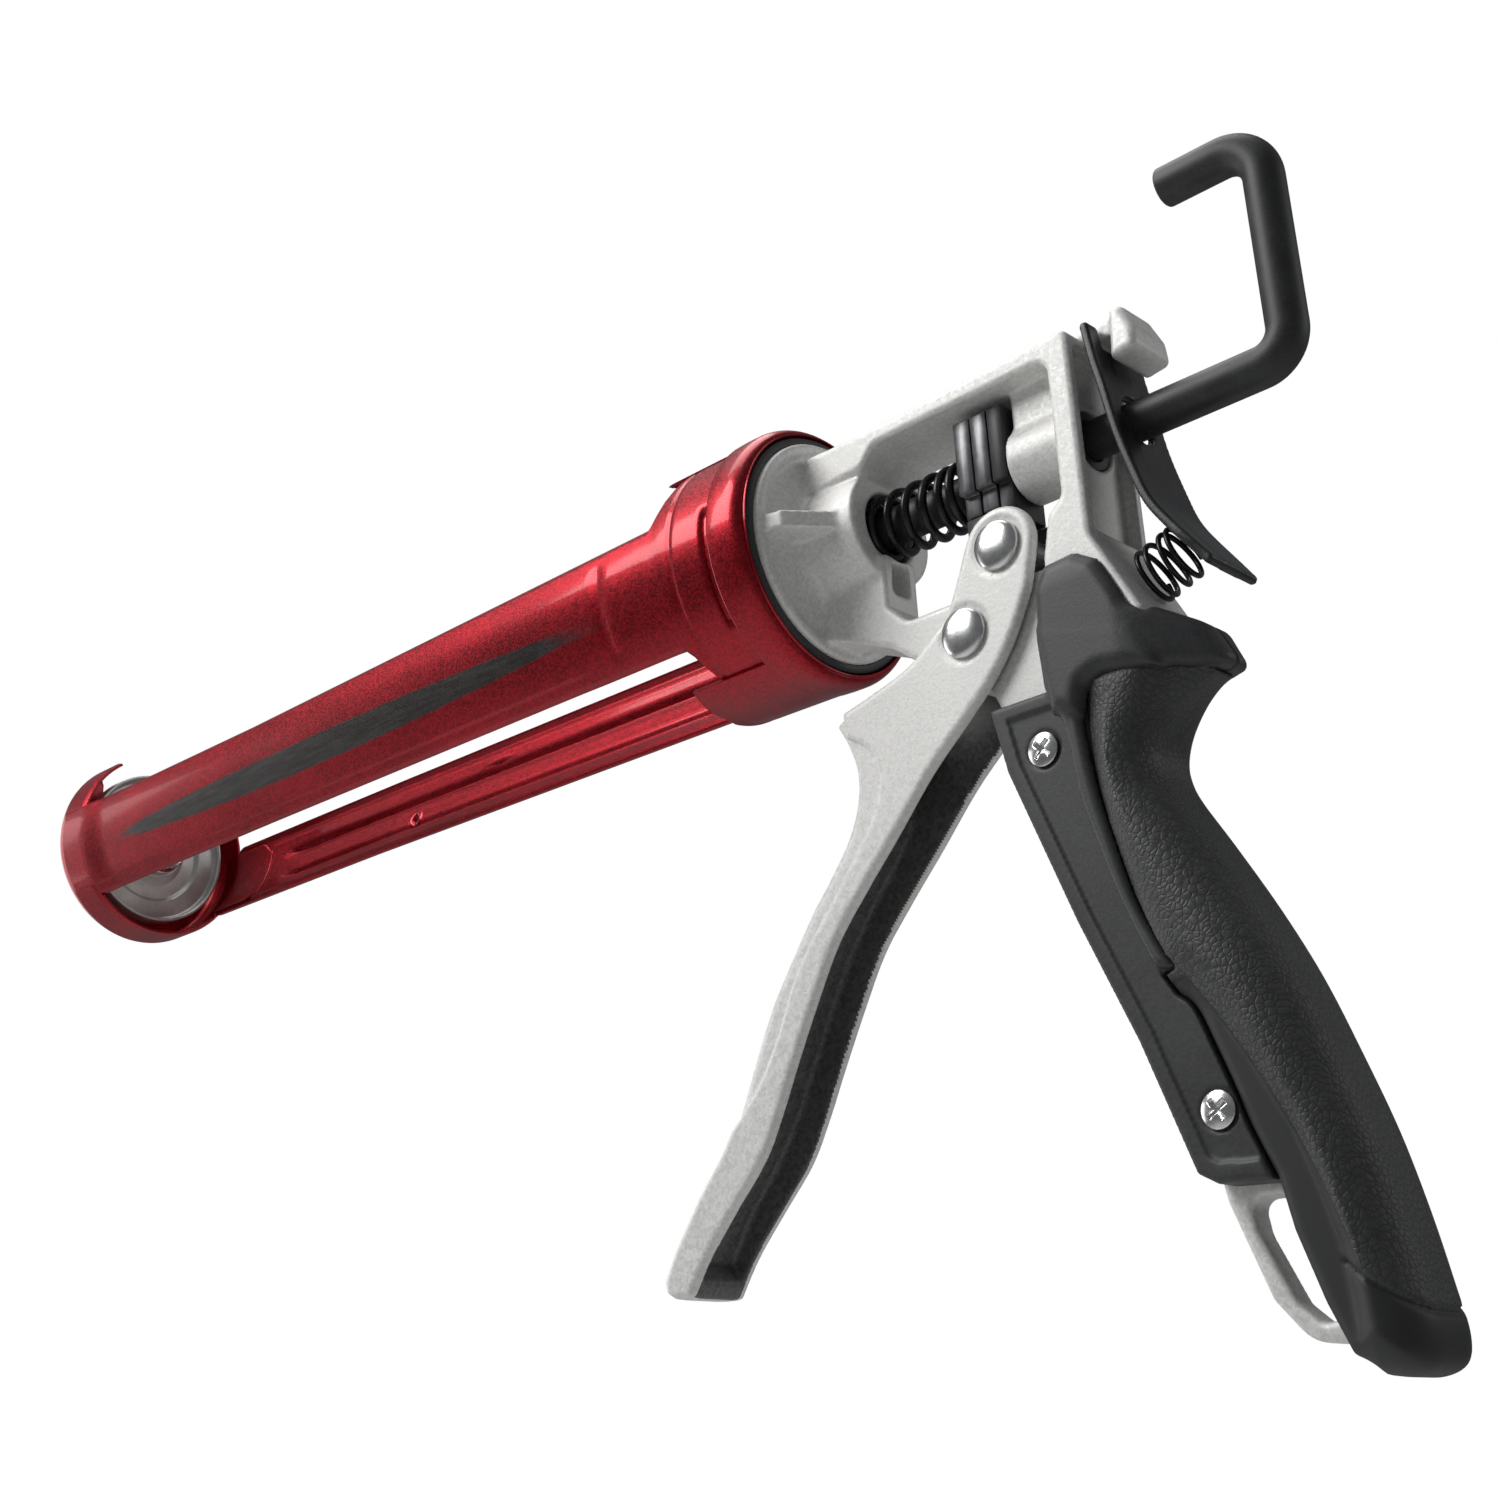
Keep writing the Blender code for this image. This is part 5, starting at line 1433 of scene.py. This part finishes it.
@dataclass
class PushRod:
    """The hooked rod with its pusher, nut and washer."""

    finishes: Finishes
    radius: float = 4.1
    hook_x: float = 114.1
    hook_top: float = 47.0
    hook_end: float = 92.5
    low_bend: float = 6.5
    high_bend: float = 8.5
    start: float = -265.9

    def build(self) -> None:
        """Make the rod, pusher, washer and nut."""
        fit(self.rod(), Body.ROD, "black_steel", "push_rod")
        fit(self.pusher(), Body.ROD, "zinc", "pusher_disc")
        washer = [(-262.3, 4.4), (-262.3, 7.7), (-262.0, 8.0), (-261.4, 8.0), (-261.1, 7.7), (-261.1, 4.4)]
        piece = tidy(make_piece("pusher_spring_washer", *lathe(washer, 64), self.finishes.bright))
        fit(piece, Body.ROD, "bright_steel", "pusher_washer")
        fit(self.nut(), Body.ROD, "bright_steel", "pusher_nut")

    def rod(self) -> bpy.types.Object:
        """Bend a bar along its path with Geometry Nodes."""
        spots = [
            (self.start, 0, 0), (self.hook_x, 0, 0), (self.hook_x, 0, self.hook_top),
            (self.hook_end, 0, self.hook_top)
        ]
        path = bpy.data.meshes.new("rod_path")
        placed = [tuple(p) for p in DATUM.place(np.array(spots, float))]
        path.from_pydata(placed, [(0, 1), (1, 2), (2, 3)], [])
        guide = bpy.data.objects.new("rod_path", path)
        bpy.context.scene.collection.objects.link(guide)
        weave = Weaver("bent_rod")
        thick = weave.input("Radius", "Float", 0.004)
        low = weave.input("Low Bend", "Float", 0.0065)
        high = weave.input("High Bend", "Float", 0.0085)
        source = weave.node("GeometryNodeObjectInfo", {"transform_space": "ORIGINAL"}, {"Object": guide})
        line = weave.node("GeometryNodeMeshToCurve", {}, {0: source.outputs["Geometry"]})
        number = weave.node("GeometryNodeInputIndex", {}, {})
        second = weave.node("ShaderNodeMath", {"operation": "GREATER_THAN"}, {0: number.outputs[0], 1: 1.5})
        bend = weave.node("ShaderNodeMix", {"data_type": "FLOAT"}, {0: second.outputs[0], 2: low, 3: high})
        bent = weave.node(
            "GeometryNodeFilletCurve", {"mode": "POLY"},
            {"Curve": line.outputs[0], "Count": 16, "Radius": bend.outputs[0], "Limit Radius": True},
        )
        ring = weave.node(
            "GeometryNodeCurvePrimitiveCircle", {"mode": "RADIUS"},
            {"Resolution": 40, "Radius": thick}
        )
        tube = weave.node(
            "GeometryNodeCurveToMesh", {},
            {"Curve": bent.outputs[0], "Profile Curve": ring.outputs[0], "Fill Caps": True}
        )
        weave.close(tube.outputs[0], self.finishes.rod)
        mm = DATUM.mm
        piece = weave.make(
            "hooked_rod",
            {"Radius": self.radius * mm, "Low Bend": self.low_bend * mm, "High Bend": self.high_bend * mm}
        )
        bpy.data.objects.remove(guide)
        tidy(piece)
        return ease_edges(piece, 0.55, 3, 60)

    def pusher(self) -> bpy.types.Object:
        """The stepped disc behind the cartridge."""
        face = -268.0
        profile = rounded([
            (face, 0.05, 0), (face, 22.0, 1.4), (face + 5.4, 22.0, 0.4), (face + 5.4, 21.1, 0.4),
            (face + 3.0, 20.6, 0.6),
            (face + 3.0, 15.6, 0.8), (face + 1.9, 14.6, 0.6), (face + 1.9, 10.6, 0.8), (face + 3.6, 9.4, 0.7),
            (face + 5.2, 8.8, 0.5), (face + 5.2, 4.4, 0), (face + 1.8, 4.4, 0), (face + 1.8, 0.05, 0),
        ])
        piece = tidy(make_piece("stepped_pusher", *lathe(profile, 128), self.finishes.zinc))
        piece.data.set_sharp_from_angle(angle=math.radians(55))
        return piece

    def nut(self) -> bpy.types.Object:
        """A chamfered six-sided nut with a bore."""
        room = Mould((-262.0, -9.0, -9.0), (-255.0, 9.0, 9.0), 0.25)
        flats = np.full((1, *np.broadcast(room.y, room.z).shape[1:]), -99.0, np.float32)
        for step in range(6):
            angle = TURN * (step + 0.5) / 6
            flats = np.maximum(flats, room.y * math.cos(angle) + room.z * math.sin(angle) - 6.45)
        radius = np.sqrt(room.y**2 + room.z**2)
        ends = np.abs(room.x + 258.3) - 2.45
        cone = (radius - 7.0 + (np.abs(room.x + 258.3) - 2.45)) * 0.7
        shape = np.maximum(np.maximum(flats, ends), cone)
        shape = np.maximum(shape, 4.3 - radius)
        return make_piece("jam_nut", *room.mesh(shape), self.finishes.bright)


@dataclass
class Drive:
    """Plates, block and main spring in the body's window."""

    finishes: Finishes
    turns: float = 8.0
    spring_radius: float = 6.4
    wire: float = 1.9

    def build(self) -> None:
        """Make the spring, and bevel the plates and the block."""
        for node, finish, slot in (
            ("drive_plate_front", self.finishes.plate, "grey_steel"),
            ("drive_plate_rear", self.finishes.plate, "grey_steel"),
            ("drive_block", self.finishes.rod, "black_steel"),
        ):
            fit(self.bevelled(node, finish), Body.DRIVE, slot, node)
        mm = DATUM.mm
        low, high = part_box("rod_spring")
        spring = coil_tree(self.finishes.spring).make(
            "main_spring",
            {
                "Turns": self.turns, "Radius": self.spring_radius * mm, "Wire": self.wire * mm,
                "Length": high.x - low.x
            },
        )
        spring.data.transform(Matrix.Translation((low.x, 0, 0)) @ Matrix.Rotation(math.pi / 2, 4, "Y"))
        fit(spring, Body.CASTING, "black_steel", "rod_spring")
        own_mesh(spring)

    def bevelled(self, node: str, finish: bpy.types.Material) -> bpy.types.Object:
        """A copy of a CAD node with its edges broken."""
        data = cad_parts[node].data.copy()
        data.name = f"{node}_ground"
        data.materials.clear()
        data.materials.append(finish)
        piece = bpy.data.objects.new(f"{node}_ground", data)
        bpy.context.scene.collection.objects.link(piece)
        tidy(piece, 0.01)
        return ease_edges(piece, 0.35, 2, 40)


@dataclass
class Trigger:
    """The squeeze trigger: a cast channel with its rivets and roller."""

    finishes: Finishes
    half: float = 8.6
    wall: float = 2.4
    head: float = 8.6
    # Normal limits that pick the faces inside the channel which get painted shade.
    floor_facing: float = 0.35
    wall_facing: float = 0.3

    def build(self) -> None:
        """Make the channel and the rivets, and dress the roller."""
        fit(self.channel(), Body.TRIGGER, "cast_silver", "trigger")
        pivot = DATUM.centre("pivot_pin")
        drive = DATUM.centre("drive_pin")
        fit(self.rivet("pivot_rivet", pivot), Body.CASTING, "bright_steel", "pivot_pin")
        fit(self.rivet("drive_rivet", drive), Body.TRIGGER, "bright_steel", "drive_pin")
        dress("drive_roller", self.finishes.plate)

    def front(self) -> list[Point]:
        """The finger side, from the spur to the tip."""
        return curve_through([
            (3.6, -42.6), (6.4, -48.0), (8.2, -54.5), (7.4, -61.2), (4.4, -67.6), (-0.8, -74.2),
            (-6.2, -80.2),
            (-12.6, -88.6), (-18.6, -97.0), (-23.4, -105.8), (-29.0, -117.0), (-33.2, -124.6),
            (-40.8, -133.2),
            (-48.4, -143.0), (-52.2, -149.4),
        ])

    def back(self) -> list[Point]:
        """The palm side, from the tip to the head."""
        return curve_through([
            (-44.4, -152.8), (-39.2, -145.6), (-31.4, -137.4), (-22.8, -128.6), (-17.4, -120.0),
            (-12.6, -111.0),
            (-6.2, -99.6), (0.6, -88.6), (8.6, -79.8), (18.0, -70.4), (28.1, -60.0), (38.2, -51.6),
            (45.4, -45.2), (51.3, -37.8), (56.2, -28.8),
        ])

    def groove(self) -> list[Point]:
        """Where the side plate steps up from the finger rest."""
        return curve_through([
            (7.6, -46.6), (11.4, -48.9), (14.6, -52.4), (15.6, -57.9), (14.5, -62.7), (10.2, -69.2),
            (4.9, -75.5),
            (-0.6, -81.8), (-5.9, -87.4), (-10.2, -93.0), (-13.6, -99.4), (-17.0, -106.0),
            (-21.3, -112.5), (-26.2, -117.8),
            (-31.2, -122.4),
        ])

    def channel(self) -> bpy.types.Object:
        """Shape the cast channel as one field."""
        room = Mould((-55.0, -9.8, -156.0), (62.0, 9.8, -7.0), 0.5)
        head = [
            (
                50.0 + self.head * math.cos(a), -18.3 + 8.4 * math.sin(a)
            ) for a in np.radians(np.linspace(-12, 153, 24))
        ]
        neck = curve_through([
            (42.2, -14.6), (36.2, -27.6), (31.4, -31.8), (24.6, -36.2), (13.6, -39.4), (6.6, -41.0),
        ])[1:]
        tip = [(-51.8, -151.8), (-49.6, -153.2), (-45.0, -153.4)]
        outline = self.front() + tip + self.back() + head + neck
        taper = 1.0 - 0.04 * ease(-room.z, 100.0, 150.0)
        flat = room.flat(outline)
        skin = room.plate(flat, self.half * taper - 0.9, 2.8)
        side = self.groove() + [(-60.0, -140.0), (-60.0, -160.0)] + self.back() + head + neck[:-1]
        raised = np.maximum(
            room.plate(room.flat(side), self.half * taper, 0.35),
            room.plate(flat, self.half * taper, 1.3)
        )
        shape = weld(skin, raised, 0.35)
        inner = curve_through([
            (22.0, -30.0), (14.6, -44.0), (13.0, -55.0), (11.6, -62.8), (7.4, -69.8), (0.0, -78.0),
            (-8.0, -88.8),
            (-14.6, -99.8), (-20.4, -110.8), (-25.8, -120.2), (-31.6, -128.0), (-39.2, -136.6),
            (-45.4, -146.0),
        ])
        opening = [(-34.0, -166.0), (90.0, -60.0), (90.0, 10.0), (34.0, 10.0), (27.0, -26.0)]
        cavity = room.flat(inner + opening)
        shape = carve(shape, room.plate(cavity, (self.half - self.wall) * taper, 1.2), 0.8)
        for at in ((40.0, -33.9), (50.0, -18.3)):
            shape = carve(shape, room.pin(at, 3.3), 0.2)
            shape = carve(shape, np.maximum(room.pin(at, 6.0), 8.35 - np.abs(room.y)), 0.3)
        # The channel's inside faces get painted shade.
        return self.core(make_piece("trigger_channel", *room.mesh(shape), self.finishes.cast))

    def core(self, piece: bpy.types.Object) -> bpy.types.Object:
        """Paint shade on the faces inside the channel: they get a dark grey finish in place of the silver.

        Args:
            piece: The channel.

        Returns:
            The same channel.
        """
        piece.data.materials.append(self.finishes.core)
        # Faces inside the channel that face rearward or towards the middle get the painted shade.
        inside = (self.half - self.wall + 0.2) * DATUM.mm
        for face in piece.data.polygons:
            side, way = face.center.y, face.normal
            inward = way.x > self.floor_facing or way.y * side < -self.wall_facing * abs(side)
            face.material_index = int(inward and abs(side) < inside)
        return piece

    def rivet(self, name: str, at: Vector) -> bpy.types.Object:
        """A shank with a domed head at each side, repeated with Geometry Nodes."""
        rise, seat, wide = 1.9, 8.65, 5.25
        dome = [
            (seat + 0.35 + (rise - 0.35) * math.cos(a), wide * math.sin(a) ** 0.85)
            for a in np.linspace(0.0, math.pi / 2, 14)
        ]
        profile = [(y, max(r, 0.02)) for y, r in dome] + [(seat, wide), (seat, 3.0), (0.0, 3.0), (0.0, 0.02)]
        verts, faces = lathe(profile, 56)
        verts = verts[:, [1, 0, 2]] * np.array([1, -1, 1])
        pattern = tidy(make_piece(f"{name}_pattern", verts, faces, self.finishes.bright))
        pattern.data.transform(Matrix.Translation((-DATUM.flange_x, 0, 0)))
        spots = [(at.x, 0.0, at.z, 0.0, 0.0), (at.x, 0.0, at.z, 0.0, 180.0)]
        piece = repeat_tree(f"{name}_heads", pattern, self.finishes.bright, spots).make(name, {"Scale": 1.0})
        bpy.data.objects.remove(pattern)
        tidy(piece, 0.02)
        piece.data.set_sharp_from_angle(angle=math.radians(50))
        return piece


@dataclass
class Grip:
    """The handle: two hard shells, a soft pad and two screws."""

    finishes: Finishes
    hood_half: float = 13.2
    panel_half: float = 9.6
    spine_half: float = 12.0
    pad_half: float = 13.4
    screws: tuple[Point, Point] = ((56.2, -63.3), (83.7, -136.4))
    ridge: list[Point] = field(default_factory=lambda: curve_through([
        (59.2, -52.3), (61.7, -57.8), (63.2, -65.1), (63.9, -73.2), (65.8, -81.4), (70.1, -96.0),
        (75.2, -109.0),
    ]))
    seam: list[Point] = field(default_factory=lambda: [(90.6, -55.9), *curve_through([
        (84.0, -54.9), (79.8, -54.0), (74.6, -53.1), (71.0, -53.0), (68.4, -54.2), (67.1, -57.4),
        (67.0, -62.5),
        (68.3, -74.0), (70.2, -83.0), (73.6, -96.6), (77.6, -106.0), (80.4, -111.0),
    ]), (76.8, -111.6)])
    low_seam: list[Point] = field(default_factory=lambda: curve_through([
        (78.4, -115.2), (81.4, -118.2), (84.2, -125.6), (86.6, -132.5), (88.9, -139.9), (92.6, -149.2),
    ]))

    def build(self) -> None:
        """Make the shells, the pad and the screws."""
        room = Mould((42.0, -14.5, -152.0), (99.0, 14.5, -19.5), 0.5)
        shape = self.shell(room)
        for name, node, side in (
            ("grip_shell_left", "grip_left", 1.0), ("grip_shell_right", "grip_right", -1.0)
        ):
            half = np.maximum(shape, side * room.y + 0.06)
            fit(make_piece(name, *room.mesh(half), self.finishes.nylon), Body.CASTING, "black_plastic", node)
        fit(self.pad(), Body.CASTING, "black_rubber", "grip_pad")
        fit(self.screw_pair(), Body.CASTING, "bright_steel", "grip_screw_upper", "grip_screw_lower")
        dress("grip_nut_upper", self.finishes.bright)
        dress("grip_nut_lower", self.finishes.bright)

    def shell(self, room: Mould) -> Array:
        """Field of the hard shells together.

        Args:
            room: The grid to shape them on.

        Returns:
            Signed distances on the grid.
        """
        front = [
            (44.6, -52.0), (47.4, -65.6), (59.3, -97.7), (69.4, -121.8), (77.9, -146.4),
            (81.6, -148.6), (92.4, -149.4)
        ]
        seam = [(x - 0.25, z) for x, z in reversed(self.low_seam)] + [
            (75.6, -111.0), (72.4, -98.0), (68.0, -80.0)
        ]
        panel = room.plate(room.flat([*front, *seam, (70.0, -52.0)]), self.panel_half, 1.1)
        right = [(x - 0.25, z) for x, z in reversed(self.seam[1:-1])]
        spine_line = [(59.0, -40.0), *self.ridge, (76.2, -110.6), *right, (80.0, -46.0)]
        spine = room.plate(room.flat(spine_line), self.spine_half, 1.8)
        hood = rounded([
            (60.3, -58.0, 0), (58.9, -43.0, 2.0), (59.4, -33.0, 2.5), (61.8, -27.6, 2.0),
            (69.2, -27.0, 3.0), (74.4, -30.4, 2.5),
            (79.9, -41.2, 3.5), (84.0, -43.0, 4.0), (91.0, -47.2, 5.0), (95.4, -56.2, 1.6),
            (90.0, -56.0, 0.8), (80.0, -54.3, 2.0),
            (72.0, -53.2, 2.0), (68.6, -54.4, 1.5), (66.8, -60.0, 0),
        ])
        reach = self.hood_half - 0.8 * ease(-room.z, 34.0, 24.0) - 8.8 * ease(room.x, 76.0, 98.0)
        cover = room.plate(room.flat(hood), reach, 3.2)
        shape = weld(weld(panel, spine, 1.2), cover, 1.6)
        rim = room.flat(front + [(130.0, -149.4), (130.0, -52.0)])
        inner = np.maximum(rim + 3.4, -1.0)
        sunk = np.maximum(np.maximum(inner, self.panel_half - 0.55 - np.abs(room.y)), -(spine + 0.6))
        shape = carve(shape, np.maximum(sunk, np.abs(room.y) - self.panel_half - 0.5), 0.25)
        hollow = room.plate(room.flat(rounded([
            (46.0, -40.0, 0), (46.0, -53.0, 0), (60.0, -56.0, 0), (66.0, -34.0, 0),
            (90.0, -20.0, 0), (80.0, -8.0, 0), (46.0, -20.0, 0),
        ])), 5.7, 0.2)
        frame_room = room.plate(room.flat([
            (50.0, -8.0), (61.0, -26.4), (68.8, -28.0), (79.4, -45.4), (82.6, -43.4), (92.0, -30.0),
            (76.0, -8.0),
        ]), 10.7, 0.2)
        shape = carve(shape, np.minimum(hollow, frame_room), 0.3)
        for at in self.screws:
            shape = carve(shape, room.pin(at, 2.4), 0.2)
            shape = carve(shape, np.maximum(room.pin(at, 3.9), self.panel_half - 0.8 - np.abs(room.y)), 0.2)
        return shape

    def pad(self) -> bpy.types.Object:
        """Shape the palm pad: a crowned body, a smooth border strip and the heel cap."""
        room = Mould((64.0, -14.4, -183.6), (117.5, 14.4, -50.0), 0.5)
        palm = curve_through([
            (91.6, -56.8), (88.2, -57.8), (83.8, -60.4), (80.2, -64.0), (78.2, -68.2),
            (78.2, -72.0), (80.0, -76.8), (85.6, -86.8),
            (92.8, -100.4), (99.0, -114.0), (104.2, -128.6), (108.6, -142.4), (111.8, -156.0),
            (114.0, -168.0), (115.2, -176.0),
            (114.0, -180.8), (110.2, -182.4), (105.4, -181.8),
        ])
        heel = [(101.6, -178.4), (98.0, -170.0), (94.2, -158.0), (92.7, -149.8)]
        seam = [*reversed(self.low_seam), *((x, z + 0.3 * (z > -56.0)) for x, z in reversed(self.seam))]
        middle = [
            (101.6, -178.4), (101.4, -170.0), (100.6, -162.0), (98.0, -152.0), (95.2, -143.5),
            (89.6, -132.2), (85.2, -124.0),
            (80.0, -117.0), (74.0, -112.0), (70.4, -98.0), (66.6, -83.0), (64.0, -62.0),
            (64.0, -48.0), (91.6, -46.0),
        ]
        thin = 1.9 * ease(room.z, -74.0, -57.0) + 4.6 * ease(room.x, 76.0, 92.0) * ease(room.z, -72.0, -57.0)
        body = room.plate(room.flat([*palm, *middle]), self.pad_half - thin, 10.0 - 0.6 * thin)
        shelf = [
            *heel, *reversed(self.low_seam), (76.4, -110.5), (84.6, -112.5), (91.0, -124.0),
            (97.0, -136.0), (102.0, -150.0)
        ]
        strip = room.plate(room.flat([*shelf, (106.0, -165.0), (108.5, -175.0), (107.0, -180.5)]), 10.1, 3.2)
        shape = weld(body, strip, 0.9)
        region = room.plate(room.flat([*palm, *heel, *seam]), self.pad_half + 0.6, 0.9)
        shape = np.maximum(shape, region)
        fall = (room.x - 107.5) * 0.62 + (room.z + 167.2) * 0.785
        ring = np.maximum(np.abs(fall) - 0.3, 103.5 - room.x)
        shape = carve(shape, np.maximum(ring, -shape - 0.6), 0.6)
        loop = room.plate(
            room.flat([(70.0, -149.0), (92.8, -148.0), (104.4, -176.6), (102.0, -180.0), (85.0, -180.0)]),
            3.3, 0.2
        )
        shape = carve(shape, loop, 0.4)
        return make_piece("palm_pad", *room.mesh(shape), self.finishes.rubber)

    def screw_pair(self) -> bpy.types.Object:
        """Two pan-head screws with a cross recess, repeated with Geometry Nodes."""
        room = Mould((-3.8, -2.4, -3.8), (3.8, 1.4, 3.8), 0.14)
        radius = np.sqrt(room.x**2 + room.z**2)
        ball = np.sqrt(radius**2 + (room.y - 6.98) ** 2) - 8.08
        head = np.maximum(np.maximum(radius - 3.4, ball), room.y)
        head = weld(head, np.maximum(radius - 1.9, np.abs(room.y - 0.5) - 0.8), 0.2)
        depth = room.y + 0.1 + 0.2 * radius
        for turn in (45.0, 135.0):
            c, s = math.cos(math.radians(turn)), math.sin(math.radians(turn))
            along, across = room.x * c + room.z * s, room.z * c - room.x * s
            slot = np.maximum(np.maximum(np.abs(along) - 2.05, np.abs(across) - 0.46), depth)
            head = carve(head, slot, 0.15)
        verts, faces = room.mesh(head)
        pattern = make_piece("screw_pattern", verts, faces, self.finishes.bright)
        pattern.data.transform(Matrix.Translation((-DATUM.flange_x, 0, 0)))
        spots = [(x, -self.panel_half + 0.4, z, 12.0 * n, 0.0) for n, (x, z) in enumerate(self.screws)]
        piece = repeat_tree(
            "grip_screws", pattern, self.finishes.bright, spots
        ).make("grip_screw_pair", {"Scale": 1.0})
        bpy.data.objects.remove(pattern)
        return piece


@dataclass
class Release:
    """The bent release lever and its spring."""

    finishes: Finishes
    half: float = 9.2
    thick: float = 1.9
    pressed: float = 0.45

    def build(self) -> None:
        """Make the lever and its spring."""
        fit(self.lever(), Body.RELEASE, "black_steel", "release_lever")
        coil, foot, way = self.spring()
        fit(coil, Body.CASTING, "black_steel", "release_spring")
        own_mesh(coil)

    def lever(self) -> bpy.types.Object:
        """Shape the bent plate as one field."""
        room = Mould((70.0, -10.2, -46.0), (106.0, 10.2, 21.5), 0.36)
        line = curve_through(
            [
                (75.9, 19.6), (77.0, 12.0), (78.4, 5.0), (80.2, -5.0), (82.8, -14.8), (85.0, -21.4),
                (88.6, -27.4), (95.4, -37.0)
            ],
            6
        )
        flat = np.full(np.broadcast(room.x, room.z).shape, 99.0, np.float32)
        for (ax, az), (bx, bz) in zip(line, line[1:]):
            ex, ez = bx - ax, bz - az
            share = np.clip(((room.x - ax) * ex + (room.z - az) * ez) / (ex * ex + ez * ez), 0, 1)
            flat = np.minimum(flat, np.hypot(room.x - ax - ex * share, room.z - az - ez * share))
        half = self.half - 1.0 * ease(-room.z, 28.0, 37.0) ** 2
        shape = room.plate(flat - self.thick / 2, half, 0.5)
        pressed = np.maximum(np.abs(room.y) - 3.2, np.abs(room.z + 15.0) - 8.0)
        shape = carve(shape, np.maximum(flat - self.thick, pressed) + 99.0 * (pressed > 0), 0.3)
        shape = weld(shape, room.plate(flat - self.thick / 2, 3.4, 0.5), 0.4)
        shape = carve(shape, room.bar(5.3, 60.0, 100.0), 0.4)
        shape = carve(shape, room.box((60.0, 84.0), (-5.2, 5.2), (15.6, 40.0), 0.6), 0.4)
        return make_piece("release_plate", *room.mesh(shape), self.finishes.lever)

    def spring(self) -> tuple[bpy.types.Object, Vector, Vector]:
        """The coil between the plate and the body.

        Returns:
            The coil, the middle of its foot, and the way to its other end.
        """
        mm = DATUM.mm
        start = Vector(DATUM.place(np.array([[78.4, 0.0, -33.2]]))[0])
        end = Vector(DATUM.place(np.array([[87.4, 0.0, -29.9]]))[0])
        made = coil_tree(self.finishes.spring).make(
            "release_coil",
            {"Turns": 4.0, "Radius": 5.3 * mm, "Wire": 1.1 * mm, "Length": (end - start).length}
        )
        turn = (end - start).to_track_quat("Z", "Y").to_matrix().to_4x4()
        made.data.transform(Matrix.Translation(start) @ turn)
        return made, start, end - start


# ---------------------------------------------------------------- studio


@dataclass
class Studio:
    """Floor, lights and camera."""

    place: tuple[float, float, float] = (0.54407, -0.33627, -0.20042)
    right: tuple[float, float, float] = (0.72840, 0.68287, -0.05595)
    up: tuple[float, float, float] = (0.27052, -0.21161, 0.93917)
    back: tuple[float, float, float] = (0.62949, -0.69922, -0.33887)
    lens: float = 52.48
    floor_z: float = -0.62

    def build(self) -> None:
        """Set up the whole studio."""
        self.camera()
        self.floor()
        self.world()
        bpy.context.scene.view_settings.view_transform = "Standard"
        self.lamp("key", (-0.5, -0.72, 0.8), 0.6, 10.0)
        self.lamp("top", (-0.2, 0.05, 1.0), 0.7, 5.0)
        self.lamp("left", (-0.95, -0.15, 0.1), 0.6, 2.4)
        self.lamp("rim", (0.85, 0.6, 0.35), 0.5, 1.2)

    def camera(self) -> None:
        """Stand the camera where it was fitted."""
        data = bpy.data.cameras.new("camera")
        data.lens = self.lens
        data.sensor_width = 36.0
        data.clip_start = 0.01
        item = bpy.data.objects.new("camera", data)
        pose = Matrix((self.right, self.up, self.back)).transposed().to_4x4()
        pose.translation = Vector(self.place)
        item.matrix_world = pose
        bpy.context.scene.collection.objects.link(item)
        bpy.context.scene.camera = item

    def floor(self) -> None:
        """A wide pale floor below the hanging gun."""
        bpy.ops.mesh.primitive_plane_add(size=12.0, location=(0.2, 0.0, self.floor_z))
        item = bpy.context.object
        item.name = "studio_floor"
        bench = NodeBench("pale_floor")
        cloud = bench.noise(3.0, 3.0)
        tone = bench.mix(cloud, (0.8, 0.8, 0.8), (0.84, 0.84, 0.835))
        item.data.materials.append(bench.finish(Base_Color=tone, Roughness=0.7))

    def world(self) -> None:
        """Pale surroundings that light the gun softly."""
        world = bpy.data.worlds.new("studio")
        bpy.context.scene.world = world
        world.use_nodes = True
        nodes, links = world.node_tree.nodes, world.node_tree.links
        back = nodes["Background"]
        back.inputs[0].default_value = (0.9, 0.92, 0.95, 1)
        back.inputs[1].default_value = 0.16
        seen = nodes.new("ShaderNodeBackground")
        seen.inputs[0].default_value = (1, 1, 1, 1)
        seen.inputs[1].default_value = 1.0
        rays = nodes.new("ShaderNodeLightPath")
        mix = nodes.new("ShaderNodeMixShader")
        links.new(rays.outputs["Is Camera Ray"], mix.inputs[0])
        links.new(back.outputs[0], mix.inputs[1])
        links.new(seen.outputs[0], mix.inputs[2])
        links.new(mix.outputs[0], nodes["World Output"].inputs[0])

    def lamp(self, name: str, at: tuple[float, float, float], size: float, power: float) -> None:
        """Hang one square soft light that faces the gun's middle."""
        data = bpy.data.lights.new(name, "AREA")
        data.shape = "SQUARE"
        data.size = size
        data.energy = power
        item = bpy.data.objects.new(name, data)
        aim = Vector((0.24, 0.0, -0.05))
        item.location = aim + Vector(at)
        item.rotation_mode = "QUATERNION"
        item.rotation_quaternion = (-Vector(at)).to_track_quat("-Z", "Y")
        bpy.context.scene.collection.objects.link(item)


def main() -> None:
    """Build every sub-assembly in order."""
    logging.basicConfig(level=logging.INFO, format="%(name)s: %(message)s")
    Studio().build()
    finishes = Finishes()
    Barrel(finishes).build()
    Casting(finishes).build()
    PushRod(finishes).build()
    Drive(finishes).build()
    Trigger(finishes).build()
    Grip(finishes).build()
    Release(finishes).build()


if __name__ == "__main__":
    main()
